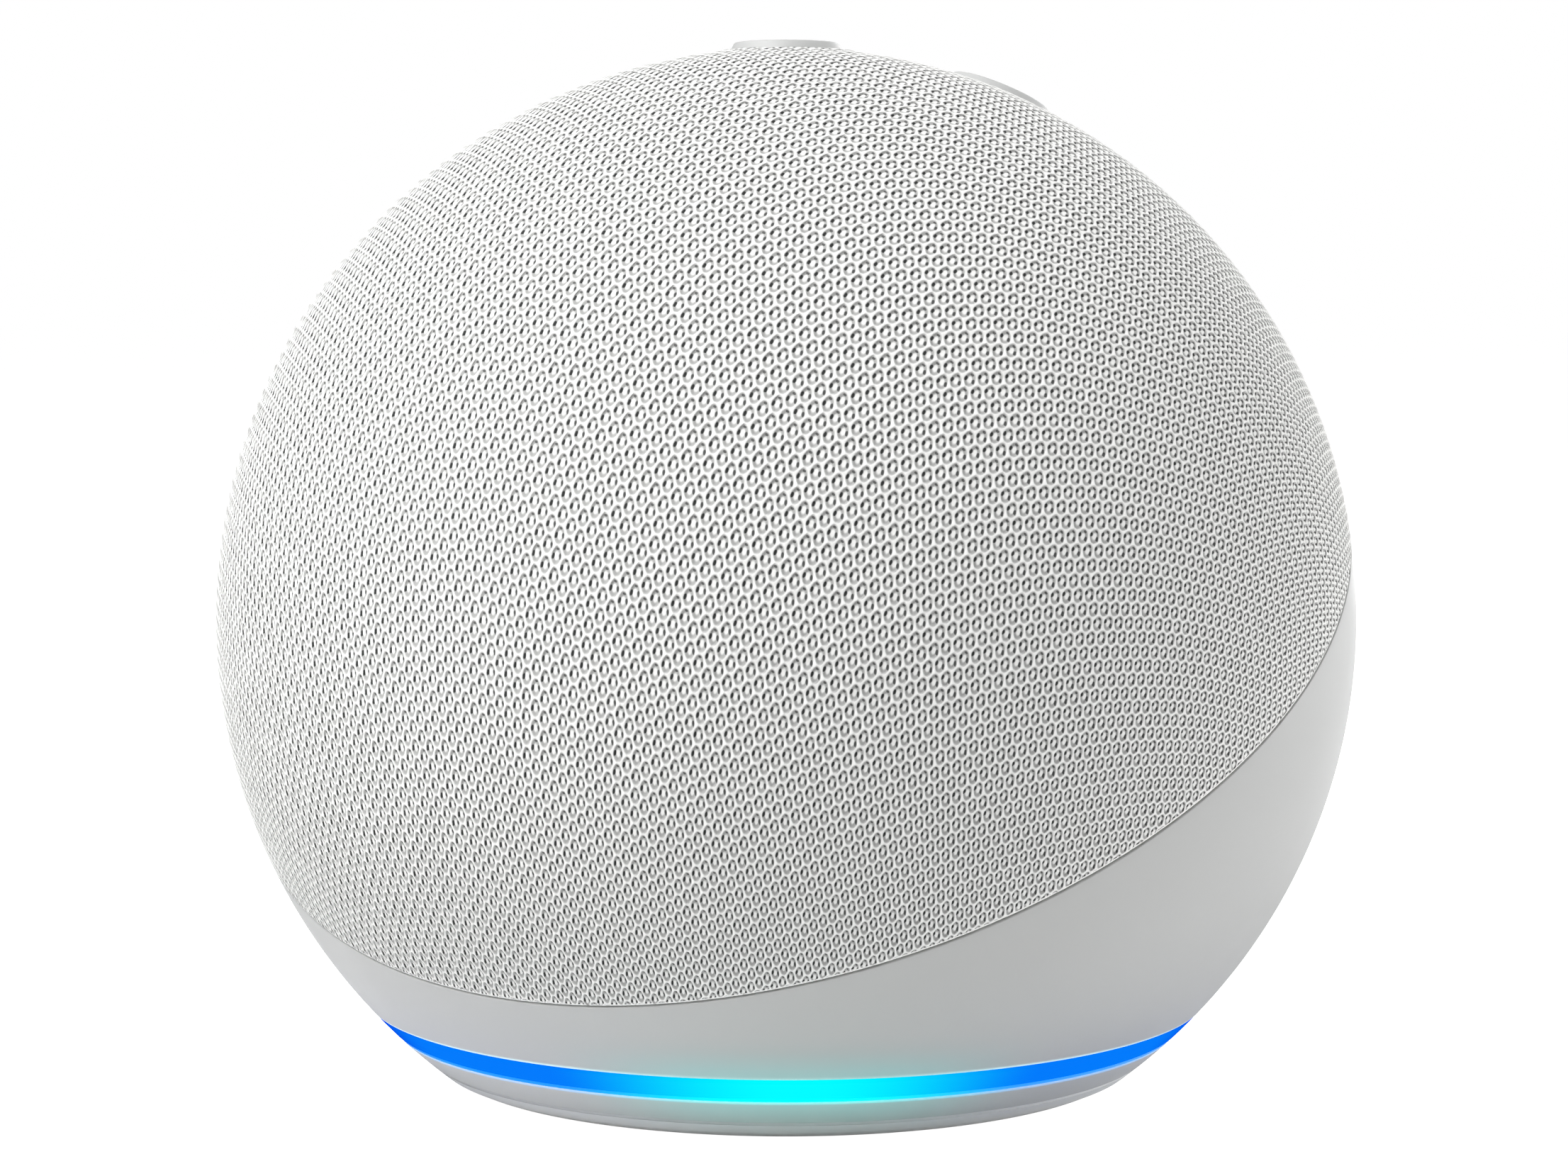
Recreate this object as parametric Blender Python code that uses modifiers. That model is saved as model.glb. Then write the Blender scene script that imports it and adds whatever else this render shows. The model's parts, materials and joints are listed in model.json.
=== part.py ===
"""Ball-shaped smart speaker standing on its foot.

Metres, +Z up. The origin is on the table under the middle of the foot, the front faces -Y, and the power
inlet is at the back. A knit cover wraps the upper cap of the ball, above a plane that leans to the front.
Below that plane come smooth plastic, the light ring, the base and the foot. The driver faces forward inside,
and the four buttons move square to their own board under the top.
"""

import math

import bmesh
import bpy
from mathutils import Matrix, Vector

MM = 0.001
GAP = 0.3 * MM  # between two pieces that touch
PAST = 5.0 * MM  # how far a cutter runs past the face that it opens

# The ball and its bands, from the table up
BALL_R = 49.5 * MM
BALL_Z = 39.6 * MM
FOOT_TOP = 1.55 * MM
FOOT_FACE_R = 28.7 * MM
FOOT_HOLE_R = 22.0 * MM
BASE_TOP = 4.1 * MM
RING_LOW = 4.4 * MM
RING_HIGH = 6.0 * MM
RING_INNER_R = 31.2 * MM
FLANGE_TOP = 8.4 * MM
FLANGE_HOLE_R = 31.0 * MM

# The plane where the cover meets the housing
CAP_LEAN = math.radians(31)
CAP_PLANE = -2.2 * MM

# Shells, from the outside in
FABRIC_T = 0.7 * MM
GRILLE_T = 1.8 * MM
HOUSING_T = 2.2 * MM
GRILLE_OUT_R = BALL_R - FABRIC_T - GAP
GRILLE_IN_R = GRILLE_OUT_R - GRILLE_T
GRILLE_HOLE_R = 2.2 * MM
GRILLE_HOLE_STEP = math.radians(7.5)
SNAP_RING_R = 46.2 * MM
SNAP_RING_T = 1.8 * MM
SNAP_RING_REACH = 2.5 * MM

# Buttons: a diamond round an axis that leans to the back, so that the front one is at the ball's top
KEY_LEAN = math.radians(16.3)
KEY_TOP = BALL_R + 0.5 * MM
KEY_TOP_R = 4.5 * MM
KEY_EDGE = 0.15 * MM
KEY_SHOULDER = BALL_R - 0.5 * MM
KEY_R = 5.0 * MM
KEY_HOLE_R = 5.3 * MM
KEY_LIP_R = 6.2 * MM
KEY_LIP_TOP = 45.7 * MM
KEY_LOW = 44.5 * MM
KEY_WELL_R = 3.9 * MM
KEY_WELL_TOP = 48.3 * MM
STEM_R = 1.5 * MM
STEM_LOW = 39.7 * MM
STEM_TOP = 47.3 * MM
STEM_OFF_AXIS = 47.5 * MM * math.sin(KEY_LEAN)
BUTTONS = {"action": -90, "volume_up": 0, "mic_off": 90, "volume_down": 180}

# The button board and what is on it, by distance from the ball's centre
BOARD_T = 1.2 * MM
KEY_BOARD_Z = 33.6 * MM
KEY_BOARD_R = 21.6 * MM
KEY_FRAME_IN_R = 19.2 * MM
KEY_SCREW_AT = 20.4 * MM
SWITCH_SIZE = 6.0 * MM
SWITCH_H = 3.2 * MM
SWITCH_BORE_R = 1.8 * MM
SWITCH_FLOOR = 1.2 * MM
PLUNGER_R = 1.4 * MM
PLUNGER_H = 2.5 * MM
MIC_OFF_AXIS = 9.0 * MM
MIC_SIZE = (3.8 * MM, 3.0 * MM, 1.0 * MM)
CORNER_ANGLES = (45, 135, 225, 315)

# Loudspeaker, by distance forward of the ball's middle plane
DRIVER_Z = 44.0 * MM
DRIVER_FACE = 29.8 * MM
DRIVER_R = 24.4 * MM
DRIVER_SCREW_AT = 22.4 * MM
SPEAKER_BOX_R = 24.5 * MM
SPEAKER_BOX_FRONT = 27.2 * MM
SPEAKER_BOX_BACK = -10.0 * MM
SPEAKER_BOX_T = 2.0 * MM
SPEAKER_BOX_MOUTH_R = 20.8 * MM
FLANGE_T = 1.5 * MM
WINDOW_R = 3.6 * MM
CONE_T = 0.5 * MM
ROLL_IN_R = 15.4 * MM
ROLL_OUT_R = 18.6 * MM
ROLL_H = 1.3 * MM
SUSPENSION_T = 0.4 * MM
SPIDER_Z = 16.6 * MM
SPIDER_WAVE_H = 0.45 * MM
SPIDER_WAVES = (7.4 * MM, 8.4 * MM, 9.4 * MM, 10.4 * MM, 11.4 * MM, 12.8 * MM)

# Boards and frame in the base
MAIN_BOARD_Z = 5.0 * MM
MAIN_BOARD_R = 30.2 * MM
LED_COUNT = 12
LED_AT = 28.8 * MM
LED_R = 0.9 * MM
LED_H = 0.55 * MM
DECK_LOW = 12.2 * MM
DECK_TOP = 13.8 * MM
DECK_R = 35.0 * MM
POST_AT = 25.3 * MM
POST_R = 2.6 * MM
POST_ANGLES = (-90, 30, 150)
BOSS_AT = 32.0 * MM
BOSS_R = 3.0 * MM
BOSS_ANGLES = (-35, 50, 215)
BOSS_TOP = DECK_LOW - GAP
SADDLE_SIZE = (44.0 * MM, 2.0 * MM, 13.0 * MM)
SADDLES_Y = {"front": -16.0 * MM, "back": 6.0 * MM}

# Main board parts, stacked over one another round this place
STACK_Y = -4.0 * MM
PROCESSOR_SIZE = (12.0 * MM, 12.0 * MM, 1.2 * MM)
PAD_SIZE = (11.0 * MM, 11.0 * MM, 0.9 * MM)
CAN_SIZE = (22.0 * MM, 20.0 * MM, 3.2 * MM)
CAN_T = 0.5 * MM
SPREADER_SIZE = (36.0 * MM, 26.0 * MM, 1.4 * MM)

# Screws: shank radius, head radius, head height and shank length
BOARD_SCREW = (0.6 * MM, 1.5 * MM, 1.0 * MM, 5.2 * MM)
SPEAKER_SCREW = (0.65 * MM, 1.6 * MM, 1.0 * MM, 7.0 * MM)
BASE_SCREW = (1.0 * MM, 2.2 * MM, 0.6 * MM, 6.0 * MM)
FRAME_SCREW = (1.0 * MM, 2.2 * MM, 1.3 * MM, 4.6 * MM)
SMALL_HOLE_R = 0.9 * MM
FLANGE_SCREW_HOLE_R = 1.2 * MM
SCREW_HOLE_R = 1.35 * MM
HEAD_RECESS_R = 2.6 * MM
HEAD_RECESS_H = 1.1 * MM

# Power inlet at the back
PORT_Z = 16.3 * MM
PORT_R = 4.8 * MM
PORT_WALL_R = 6.4 * MM
JACK_FACE_Y = 35.8 * MM
JACK_SIZE = (9.0 * MM, 13.0 * MM, 11.0 * MM)
JACK_BORE_R = 3.2 * MM
JACK_PIN_R = 1.0 * MM
JACK_DEPTH = 9.5 * MM
JACK_PIN_BACK = 0.6 * MM
JACK_BOARD_Z = FLANGE_TOP + GAP
JACK_BOARD_SIZE = (14.0 * MM, 14.2 * MM, 1.0 * MM)
JACK_BOARD_Y = 27.1 * MM
CONNECTOR_SIZE = (10.0 * MM, 4.0 * MM)
CONNECTOR_Y = 23.0 * MM

# Wiring
RIBBON_HALF = 4.0 * MM
RIBBON_T = 0.3 * MM
LEAD_R = 0.6 * MM

# Facets round a full turn
SHELL_STEPS = 40
KEY_STEPS = 20
DRIVER_STEPS = 20
SMALL_STEPS = 10
DISC_STEPS = 24

# Colour, roughness and metallic value of each material
PAINTS = {
    "knit": ((0.86, 0.86, 0.84), 0.9, 0.0),
    "white_plastic": ((0.78, 0.79, 0.79), 0.35, 0.0),
    "grey_plastic": ((0.30, 0.31, 0.32), 0.5, 0.0),
    "black_plastic": ((0.03, 0.03, 0.03), 0.45, 0.0),
    "diffuser": ((0.10, 0.45, 0.95), 0.3, 0.0),
    "rubber": ((0.62, 0.62, 0.62), 0.8, 0.0),
    "board": ((0.03, 0.22, 0.10), 0.5, 0.0),
    "steel": ((0.62, 0.62, 0.64), 0.3, 1.0),
    "aluminium": ((0.75, 0.75, 0.77), 0.4, 1.0),
    "ferrite": ((0.08, 0.08, 0.09), 0.6, 0.2),
    "paper": ((0.05, 0.05, 0.055), 0.85, 0.0),
    "copper": ((0.72, 0.38, 0.20), 0.35, 1.0),
    "red_wire": ((0.60, 0.03, 0.02), 0.5, 0.0),
    "amber_film": ((0.75, 0.38, 0.06), 0.4, 0.0),
}


# ---------------------------------------------------------------- scene and helpers


def clear_scene():
    for obj in list(bpy.data.objects):
        bpy.data.objects.remove(obj, do_unlink=True)


def add_collection(name):
    collection = bpy.data.collections.new(name)
    bpy.context.scene.collection.children.link(collection)
    return collection


def add_material(name):
    colour, roughness, metallic = PAINTS[name]
    paint = bpy.data.materials.new(name)
    paint.use_nodes = True
    shader = paint.node_tree.nodes["Principled BSDF"]
    shader.inputs["Base Color"].default_value = (*colour, 1.0)
    shader.inputs["Roughness"].default_value = roughness
    shader.inputs["Metallic"].default_value = metallic
    paint.diffuse_color = (*colour, 1.0)
    return paint


def add_object(name, data, frame, paint):
    """A part, or a cutter where paint is None."""
    obj = bpy.data.objects.new(name, data)
    if paint is None:
        cutters.objects.link(obj)
        obj.hide_render = True
        obj.display_type = "WIRE"
    else:
        parts.objects.link(obj)
        data.materials.append(materials[paint])
    obj.matrix_world = frame
    return obj


def moved(x=0.0, y=0.0, z=0.0):
    return Matrix.Translation((x, y, z))


def turned_by(degrees, axis):
    return Matrix.Rotation(math.radians(degrees), 4, axis)


def turned(name, profile, frame, steps, paint=None):
    """A turned solid about the frame's +Z. The (radius, height) points run down the outer side."""
    count = len(profile)
    edges = [(i, i + 1) for i in range(count - 1)]
    if profile[0][0] > 0:
        edges.append((count - 1, 0))
    mesh = bpy.data.meshes.new(name)
    mesh.from_pydata([(r, 0.0, z) for r, z in profile], edges, [])
    obj = add_object(name, mesh, frame, paint)
    screw = obj.modifiers.new("Turn", "SCREW")
    screw.axis = "Z"
    screw.steps = screw.render_steps = steps
    screw.use_merge_vertices = True
    screw.merge_threshold = 0.00001
    return obj


def rod(name, radius, low, high, frame, steps=SMALL_STEPS, paint=None):
    return turned(name, [(0.0, high), (radius, high), (radius, low), (0.0, low)], frame, steps, paint)


def washer(name, inner, outer, low, high, frame, steps, paint=None):
    profile = [(inner, high), (outer, high), (outer, low), (inner, low)]
    return turned(name, profile, frame, steps, paint)


def block(name, size, centre, frame, paint=None):
    """A box of this size round a centre, both in the frame's own directions."""
    mesh = bpy.data.meshes.new(name)
    grid = bmesh.new()
    bmesh.ops.create_cube(grid, size=1.0, matrix=moved(*centre) @ Matrix.Diagonal((*size, 1.0)))
    grid.to_mesh(mesh)
    grid.free()
    return add_object(name, mesh, frame, paint)


def many(name, shapes):
    """One cutter that holds several cylinders, each given as (radius, depth, steps, frame of its middle)."""
    mesh = bpy.data.meshes.new(name)
    grid = bmesh.new()
    for radius, depth, steps, frame in shapes:
        bmesh.ops.create_cone(
            grid, cap_ends=True, segments=steps, radius1=radius, radius2=radius, depth=depth, matrix=frame
        )
    grid.to_mesh(mesh)
    grid.free()
    return add_object(name, mesh, Matrix.Identity(4), None)


def boolean(obj, operation, others):
    for other in others:
        modifier = obj.modifiers.new(f"{operation.title()} {other.name}", "BOOLEAN")
        modifier.operation = operation
        modifier.object = other


def cut(obj, *others):
    boolean(obj, "DIFFERENCE", others)


def weld(obj, *others):
    boolean(obj, "UNION", others)


def ball_arc(radius, start, end, steps):
    """Points on a ball round the frame's origin, by angle from +Z."""
    angles = [start + (end - start) * i / steps for i in range(steps + 1)]
    return [(radius * math.sin(a), radius * math.cos(a)) for a in angles]


def ball_r_at(height):
    """The ball's radius at a height above the table."""
    return math.sqrt(BALL_R**2 - (height - BALL_Z) ** 2)


def ball_band(high, low, steps):
    """Points down the outside of the ball, by height above the table."""
    heights = [high + (low - high) * i / steps for i in range(steps + 1)]
    return [(ball_r_at(h), h) for h in heights]


def at_angle(radius, degrees):
    return radius * math.cos(math.radians(degrees)), radius * math.sin(math.radians(degrees))


def round_circle(name, radius, at, angles, low, high, frame, steps=SMALL_STEPS):
    """One cutter that holds a cylinder at each angle round the frame's +Z."""
    shapes = []
    for angle in angles:
        x, y = at_angle(at, angle)
        shapes.append((radius, high - low, steps, frame @ moved(x, y, (low + high) / 2)))
    return many(name, shapes)


def add_slide(name, frame, children):
    """An empty on a joint's axis, +Z along it, that carries the pieces that move together."""
    empty = bpy.data.objects.new(name, None)
    parts.objects.link(empty)
    empty.empty_display_size = 5 * MM
    empty.matrix_world = frame
    for child in children:
        child.parent = empty
        child.matrix_parent_inverse = frame.inverted()


# ---------------------------------------------------------------- outer shells


def cap_shell(name, outer, inner, paint):
    """A shell of the upper cap, turned about the cap's own leaning axis, with its rim on the cap's plane."""
    rim = CAP_PLANE + GAP / 2
    outside = ball_arc(outer, 0.0, math.acos(rim / outer), 10)
    inside = ball_arc(inner, math.acos(rim / inner), 0.0, 10)
    outside[0] = (0.0, outer)
    inside[-1] = (0.0, inner)
    return turned(name, outside + inside, CAP, SHELL_STEPS, paint)


def make_fabric_cover():
    cover = cap_shell("fabric_cover", BALL_R, BALL_R - FABRIC_T, "knit")
    cut(cover, *key_holes)


def make_grille_shell():
    """The rigid shell under the knit, with sound holes in front of the driver."""
    shell = cap_shell("grille_shell", GRILLE_OUT_R, GRILLE_IN_R, "grey_plastic")
    forward = BALL @ turned_by(90, "X")
    places = [(0, 0)] + [(1, 60 * i) for i in range(6)] + [(2, 30 * i) for i in range(12)]
    holes = []
    for ring, angle in places:
        aim = forward @ turned_by(angle, "Z") @ Matrix.Rotation(ring * GRILLE_HOLE_STEP, 4, "Y")
        holes.append((GRILLE_HOLE_R, 2 * PAST, 6, aim @ moved(z=GRILLE_OUT_R)))
    cut(shell, many("sound_holes", holes), *key_holes)


def make_snap_ring():
    """Joins the grille shell to the housing, behind the line where they meet."""
    low, high = CAP_PLANE - SNAP_RING_REACH, CAP_PLANE + SNAP_RING_REACH
    washer("snap_ring", SNAP_RING_R - SNAP_RING_T, SNAP_RING_R, low, high, CAP, SHELL_STEPS, "grey_plastic")


def make_lower_housing():
    low = RING_HIGH + GAP
    bottom = math.acos((low - BALL_Z) / BALL_R)
    outside = ball_arc(BALL_R, 0.0, bottom, 14)
    outside[0] = (0.0, BALL_R)
    housing = turned("lower_housing", outside + [(0.0, low - BALL_Z)], BALL, SHELL_STEPS, "white_plastic")

    inner_r = BALL_R - HOUSING_T
    floor = math.acos((FLANGE_TOP - BALL_Z) / inner_r)
    inside = ball_arc(inner_r, 0.0, floor, 14)
    inside[0] = (0.0, inner_r)
    flange_points = [(FLANGE_HOLE_R, FLANGE_TOP - BALL_Z), (FLANGE_HOLE_R, -BALL_R), (0.0, -BALL_R)]
    cavity = turned("housing_cavity", inside + flange_points, BALL, SHELL_STEPS)
    port_wall = rod("port_wall", PORT_WALL_R, JACK_FACE_Y + GAP, BALL_R + PAST, PORT, KEY_STEPS)
    bosses = round_circle("screw_bosses", BOSS_R, BOSS_AT, BOSS_ANGLES, RING_HIGH, BOSS_TOP, TABLE)
    cut(cavity, port_wall, bosses)

    above_cap = rod("above_cap_plane", 2 * BALL_R, CAP_PLANE - GAP / 2, 2 * BALL_R, CAP, SHELL_STEPS)
    port_hole = rod("port_hole", PORT_R, JACK_FACE_Y - PAST, BALL_R + PAST, PORT, KEY_STEPS)
    low, high = BOSS_TOP - 3 * MM, BOSS_TOP + PAST
    screw_holes = round_circle("boss_holes", SCREW_HOLE_R, BOSS_AT, BOSS_ANGLES, low, high, TABLE)
    cut(housing, cavity, above_cap, port_hole, screw_holes)


def make_light_ring():
    inside = [(RING_INNER_R, RING_LOW), (RING_INNER_R, RING_HIGH)]
    turned("light_ring", ball_band(RING_HIGH, RING_LOW, 2) + inside, TABLE, SHELL_STEPS, "diffuser")


def make_base_cover():
    low = FOOT_TOP + GAP
    profile = [(0.0, BASE_TOP)] + ball_band(BASE_TOP, low, 2) + [(0.0, low)]
    cover = turned("base_cover", profile, TABLE, SHELL_STEPS, "white_plastic")
    recess = low + HEAD_RECESS_H
    holes = round_circle("base_screw_holes", SCREW_HOLE_R, POST_AT, POST_ANGLES, -PAST, PAST, TABLE)
    recesses = round_circle("base_screw_recesses", HEAD_RECESS_R, POST_AT, POST_ANGLES, -PAST, recess, TABLE)
    cut(cover, holes, recesses)


def make_rubber_foot():
    outside = [
        (ball_r_at(FOOT_TOP), FOOT_TOP),
        (ball_r_at(0.7 * MM), 0.7 * MM),
        (FOOT_FACE_R + 0.8 * MM, 0.2 * MM),
        (FOOT_FACE_R, 0.0),
    ]
    inside = [(FOOT_HOLE_R, 0.0), (FOOT_HOLE_R, FOOT_TOP)]
    turned("rubber_foot", outside + inside, TABLE, SHELL_STEPS, "rubber")


# ---------------------------------------------------------------- buttons and their board


def key_aim(angle):
    """Frame of one button: origin at the ball's centre, +Z out through the middle of the button."""
    return KEYS @ turned_by(angle, "Z") @ Matrix.Rotation(KEY_LEAN, 4, "Y")


def key_stem(angle):
    """Frame of one button's stem, parallel to the board's own normal."""
    x, y = at_angle(STEM_OFF_AXIS, angle)
    return KEYS @ moved(x, y)


def make_key_holes():
    holes = []
    for name, angle in BUTTONS.items():
        low, high = KEY_LIP_TOP, BALL_R + PAST
        holes.append(rod(f"{name}_hole", KEY_HOLE_R, low, high, key_aim(angle), KEY_STEPS))
    return holes


def make_button(name, angle):
    """A cap with a retaining lip, hollow below, and a stem that stands on the switch's plunger."""
    profile = [
        (0.0, KEY_TOP),
        (KEY_TOP_R - KEY_EDGE, KEY_TOP),
        (KEY_TOP_R, KEY_TOP - KEY_EDGE),
        (KEY_R, KEY_SHOULDER),
        (KEY_R, KEY_LIP_TOP),
        (KEY_LIP_R, KEY_LIP_TOP),
        (KEY_LIP_R, KEY_LOW),
        (KEY_WELL_R, KEY_LOW),
        (KEY_WELL_R, KEY_WELL_TOP),
        (0.0, KEY_WELL_TOP),
    ]
    cap = turned(f"{name}_button", profile, key_aim(angle), KEY_STEPS, "white_plastic")
    frame = key_stem(angle)
    weld(cap, rod(f"{name}_stem", STEM_R, STEM_LOW, STEM_TOP, frame))
    low, high = STEM_LOW - GAP - PLUNGER_H, STEM_LOW - GAP
    plunger = rod(f"{name}_plunger", PLUNGER_R, low, high, frame, SMALL_STEPS, "black_plastic")
    add_slide(f"{name}_slide", frame @ moved(z=STEM_LOW), [cap, plunger])


def make_switch(name, angle):
    low = KEY_BOARD_Z + BOARD_T + GAP
    frame = key_stem(angle)
    size = (SWITCH_SIZE, SWITCH_SIZE, SWITCH_H)
    switch = block(f"{name}_switch", size, (0, 0, low + SWITCH_H / 2), frame, "steel")
    bore = rod(f"{name}_switch_bore", SWITCH_BORE_R, low + SWITCH_FLOOR, low + SWITCH_H + PAST, frame)
    cut(switch, bore)


def make_key_board():
    board = rod("button_board", KEY_BOARD_R, KEY_BOARD_Z, KEY_BOARD_Z + BOARD_T, KEYS, DISC_STEPS, "board")
    frame_low = KEY_BOARD_Z + BOARD_T + GAP
    clear_r = GRILLE_IN_R - 0.4 * MM
    profile = [
        (KEY_FRAME_IN_R, math.sqrt(clear_r**2 - KEY_FRAME_IN_R**2)),
        (KEY_BOARD_R, math.sqrt(clear_r**2 - KEY_BOARD_R**2)),
        (KEY_BOARD_R, frame_low),
        (KEY_FRAME_IN_R, frame_low),
    ]
    frame = turned("button_frame", profile, KEYS, SHELL_STEPS, "grey_plastic")
    for side, place in (("left", -KEY_SCREW_AT), ("right", KEY_SCREW_AT)):
        at = KEYS @ moved(place)
        hole = rod(f"{side}_board_hole", SMALL_HOLE_R, KEY_BOARD_Z - PAST, frame_low + 4.5 * MM, at)
        cut(board, hole)
        cut(frame, hole)
        screw(f"board_screw_{side}", BOARD_SCREW, at @ moved(z=KEY_BOARD_Z - GAP))


def make_microphones():
    low = KEY_BOARD_Z + BOARD_T + GAP
    for number, angle in enumerate(CORNER_ANGLES, start=1):
        frame = KEYS @ turned_by(angle, "Z")
        block(f"microphone_{number}", MIC_SIZE, (MIC_OFF_AXIS, 0, low + MIC_SIZE[2] / 2), frame, "steel")


def screw(name, size, frame):
    """A screw driven along +Z: its head is below the frame's origin and its shank above it."""
    shank_r, head_r, head_h, length = size
    shank = [(0.0, length), (shank_r, length), (shank_r, 0.0)]
    head = [(head_r, 0.0), (head_r, -head_h), (0.0, -head_h)]
    turned(name, shank + head, frame, SMALL_STEPS, "steel")


# ---------------------------------------------------------------- loudspeaker


def make_speaker_box():
    """The sealed cup behind the driver, with a thick rim for the screws."""
    front, back, wall = SPEAKER_BOX_FRONT, SPEAKER_BOX_BACK, SPEAKER_BOX_T
    inner = SPEAKER_BOX_R - wall
    profile = [
        (0.0, back + wall),
        (inner - wall, back + wall),
        (inner, back + 2 * wall),
        (inner, front - 8 * MM),
        (SPEAKER_BOX_MOUTH_R, front - 7 * MM),
        (SPEAKER_BOX_MOUTH_R, front),
        (SPEAKER_BOX_R, front),
        (SPEAKER_BOX_R, back + wall),
        (SPEAKER_BOX_R - wall, back),
        (0.0, back),
    ]
    box = turned("speaker_box", profile, DRIVER, DISC_STEPS, "black_plastic")
    cut(box, driver_holes("speaker_box_holes", SMALL_HOLE_R, front - 6 * MM))


def driver_holes(name, radius, low):
    """Holes for the driver's four screws, from this far back to well in front of the driver."""
    return round_circle(name, radius, DRIVER_SCREW_AT, CORNER_ANGLES, low, DRIVER_FACE + PAST, DRIVER)


def make_driver_fixings():
    back, front = SPEAKER_BOX_FRONT + GAP, DRIVER_FACE - FLANGE_T - GAP
    inner = SPEAKER_BOX_MOUTH_R
    gasket = washer("speaker_gasket", inner, DRIVER_R, back, front, DRIVER, DISC_STEPS, "rubber")
    cut(gasket, driver_holes("gasket_holes", FLANGE_SCREW_HOLE_R, back - PAST))
    for number, angle in enumerate(CORNER_ANGLES, start=1):
        x, y = at_angle(DRIVER_SCREW_AT, angle)
        facing_back = DRIVER @ moved(x, y, DRIVER_FACE + GAP) @ turned_by(180, "X")
        screw(f"speaker_screw_{number}", SPEAKER_SCREW, facing_back)


def make_speaker_frame():
    """Basket: a flange in front, a cone of sheet with four windows, and a ring on the top plate."""
    back = DRIVER_FACE - FLANGE_T
    profile = [
        (17.6 * MM, DRIVER_FACE),
        (DRIVER_R, DRIVER_FACE),
        (DRIVER_R, back),
        (20.0 * MM, back),
        (13.4 * MM, 14.2 * MM),
        (13.4 * MM, 12.8 * MM),
        (7.6 * MM, 12.8 * MM),
        (7.6 * MM, 13.8 * MM),
        (12.4 * MM, 13.8 * MM),
        (17.6 * MM, 26.0 * MM),
    ]
    basket = turned("speaker_frame", profile, DRIVER, DRIVER_STEPS, "steel")
    windows = []
    for angle in (0, 90, 180, 270):
        aim = DRIVER @ moved(z=20.5 * MM) @ turned_by(angle, "Z") @ turned_by(90, "Y")
        windows.append((WINDOW_R, 14 * MM, 6, aim @ moved(z=17 * MM)))
    flange_holes = driver_holes("flange_holes", FLANGE_SCREW_HOLE_R, back - PAST)
    cut(basket, many("basket_windows", windows), flange_holes)


def make_motor():
    """Ring magnet between a top plate and a back plate with its pole."""
    washer("top_plate", 7.5 * MM, 13.6 * MM, 10.2 * MM, 12.5 * MM, DRIVER, DRIVER_STEPS, "steel")
    washer("magnet", 8.6 * MM, 14.0 * MM, 5.5 * MM, 9.9 * MM, DRIVER, DRIVER_STEPS, "ferrite")
    pole = [(0.0, 12.5 * MM), (6.0 * MM, 12.5 * MM), (6.0 * MM, 5.2 * MM), (13.6 * MM, 5.2 * MM)]
    plate = [(13.6 * MM, 3.0 * MM), (0.0, 3.0 * MM)]
    turned("back_plate", pole + plate, DRIVER, DRIVER_STEPS, "steel")


def half_roll(start_r, end_r, height, steps):
    """Points over a half roll between two radii, as (radius, rise)."""
    middle, half = (start_r + end_r) / 2, (end_r - start_r) / 2
    angles = [math.pi * i / steps for i in range(steps + 1)]
    return [(middle - half * math.cos(a), height * math.sin(a)) for a in angles]


def make_moving_cone():
    """The parts that move with the voice coil."""
    edge, neck, front, throat = 15.0 * MM, 7.3 * MM, 29.6 * MM, 21.0 * MM
    profile = [(neck, throat), (edge, front), (edge, front - CONE_T), (neck, throat - CONE_T)]
    cone = turned("speaker_cone", profile, DRIVER, DRIVER_STEPS, "paper")
    dome = [(r, 22.2 * MM + h) for r, h in [(0.0, 2.2 * MM), (2.8 * MM, 1.8 * MM), (5.2 * MM, 0.8 * MM)]]
    inner = [(6.8 * MM, 22.2 * MM), (6.8 * MM, 21.8 * MM), (0.0, 21.8 * MM)]
    cap = turned("dust_cap", dome + inner, DRIVER, DRIVER_STEPS, "paper")
    coil = washer("voice_coil", 6.5 * MM, 7.0 * MM, 10.0 * MM, 21.4 * MM, DRIVER, DRIVER_STEPS, "copper")
    add_slide("cone_slide", DRIVER @ moved(z=20 * MM), [cone, cap, coil])


def make_suspension():
    """The surround in front and the spider behind, which flex as the cone moves."""
    face, thick = DRIVER_FACE + GAP, SUSPENSION_T
    arc = half_roll(ROLL_IN_R, ROLL_OUT_R, ROLL_H, 4)
    over = [(r, face + thick + h) for r, h in arc]
    under = [(r, face + h) for r, h in reversed(arc)]
    rim = [(20.4 * MM, face + thick), (20.4 * MM, face)]
    turned("surround", over + rim + under, DRIVER, DRIVER_STEPS, "rubber")
    waves = [(r, SPIDER_Z + (i % 2) * SPIDER_WAVE_H) for i, r in enumerate(SPIDER_WAVES)]
    upper = [(r, h + thick) for r, h in waves]
    turned("spider", upper + list(reversed(waves)), DRIVER, DRIVER_STEPS, "paper")


# ---------------------------------------------------------------- base


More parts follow.
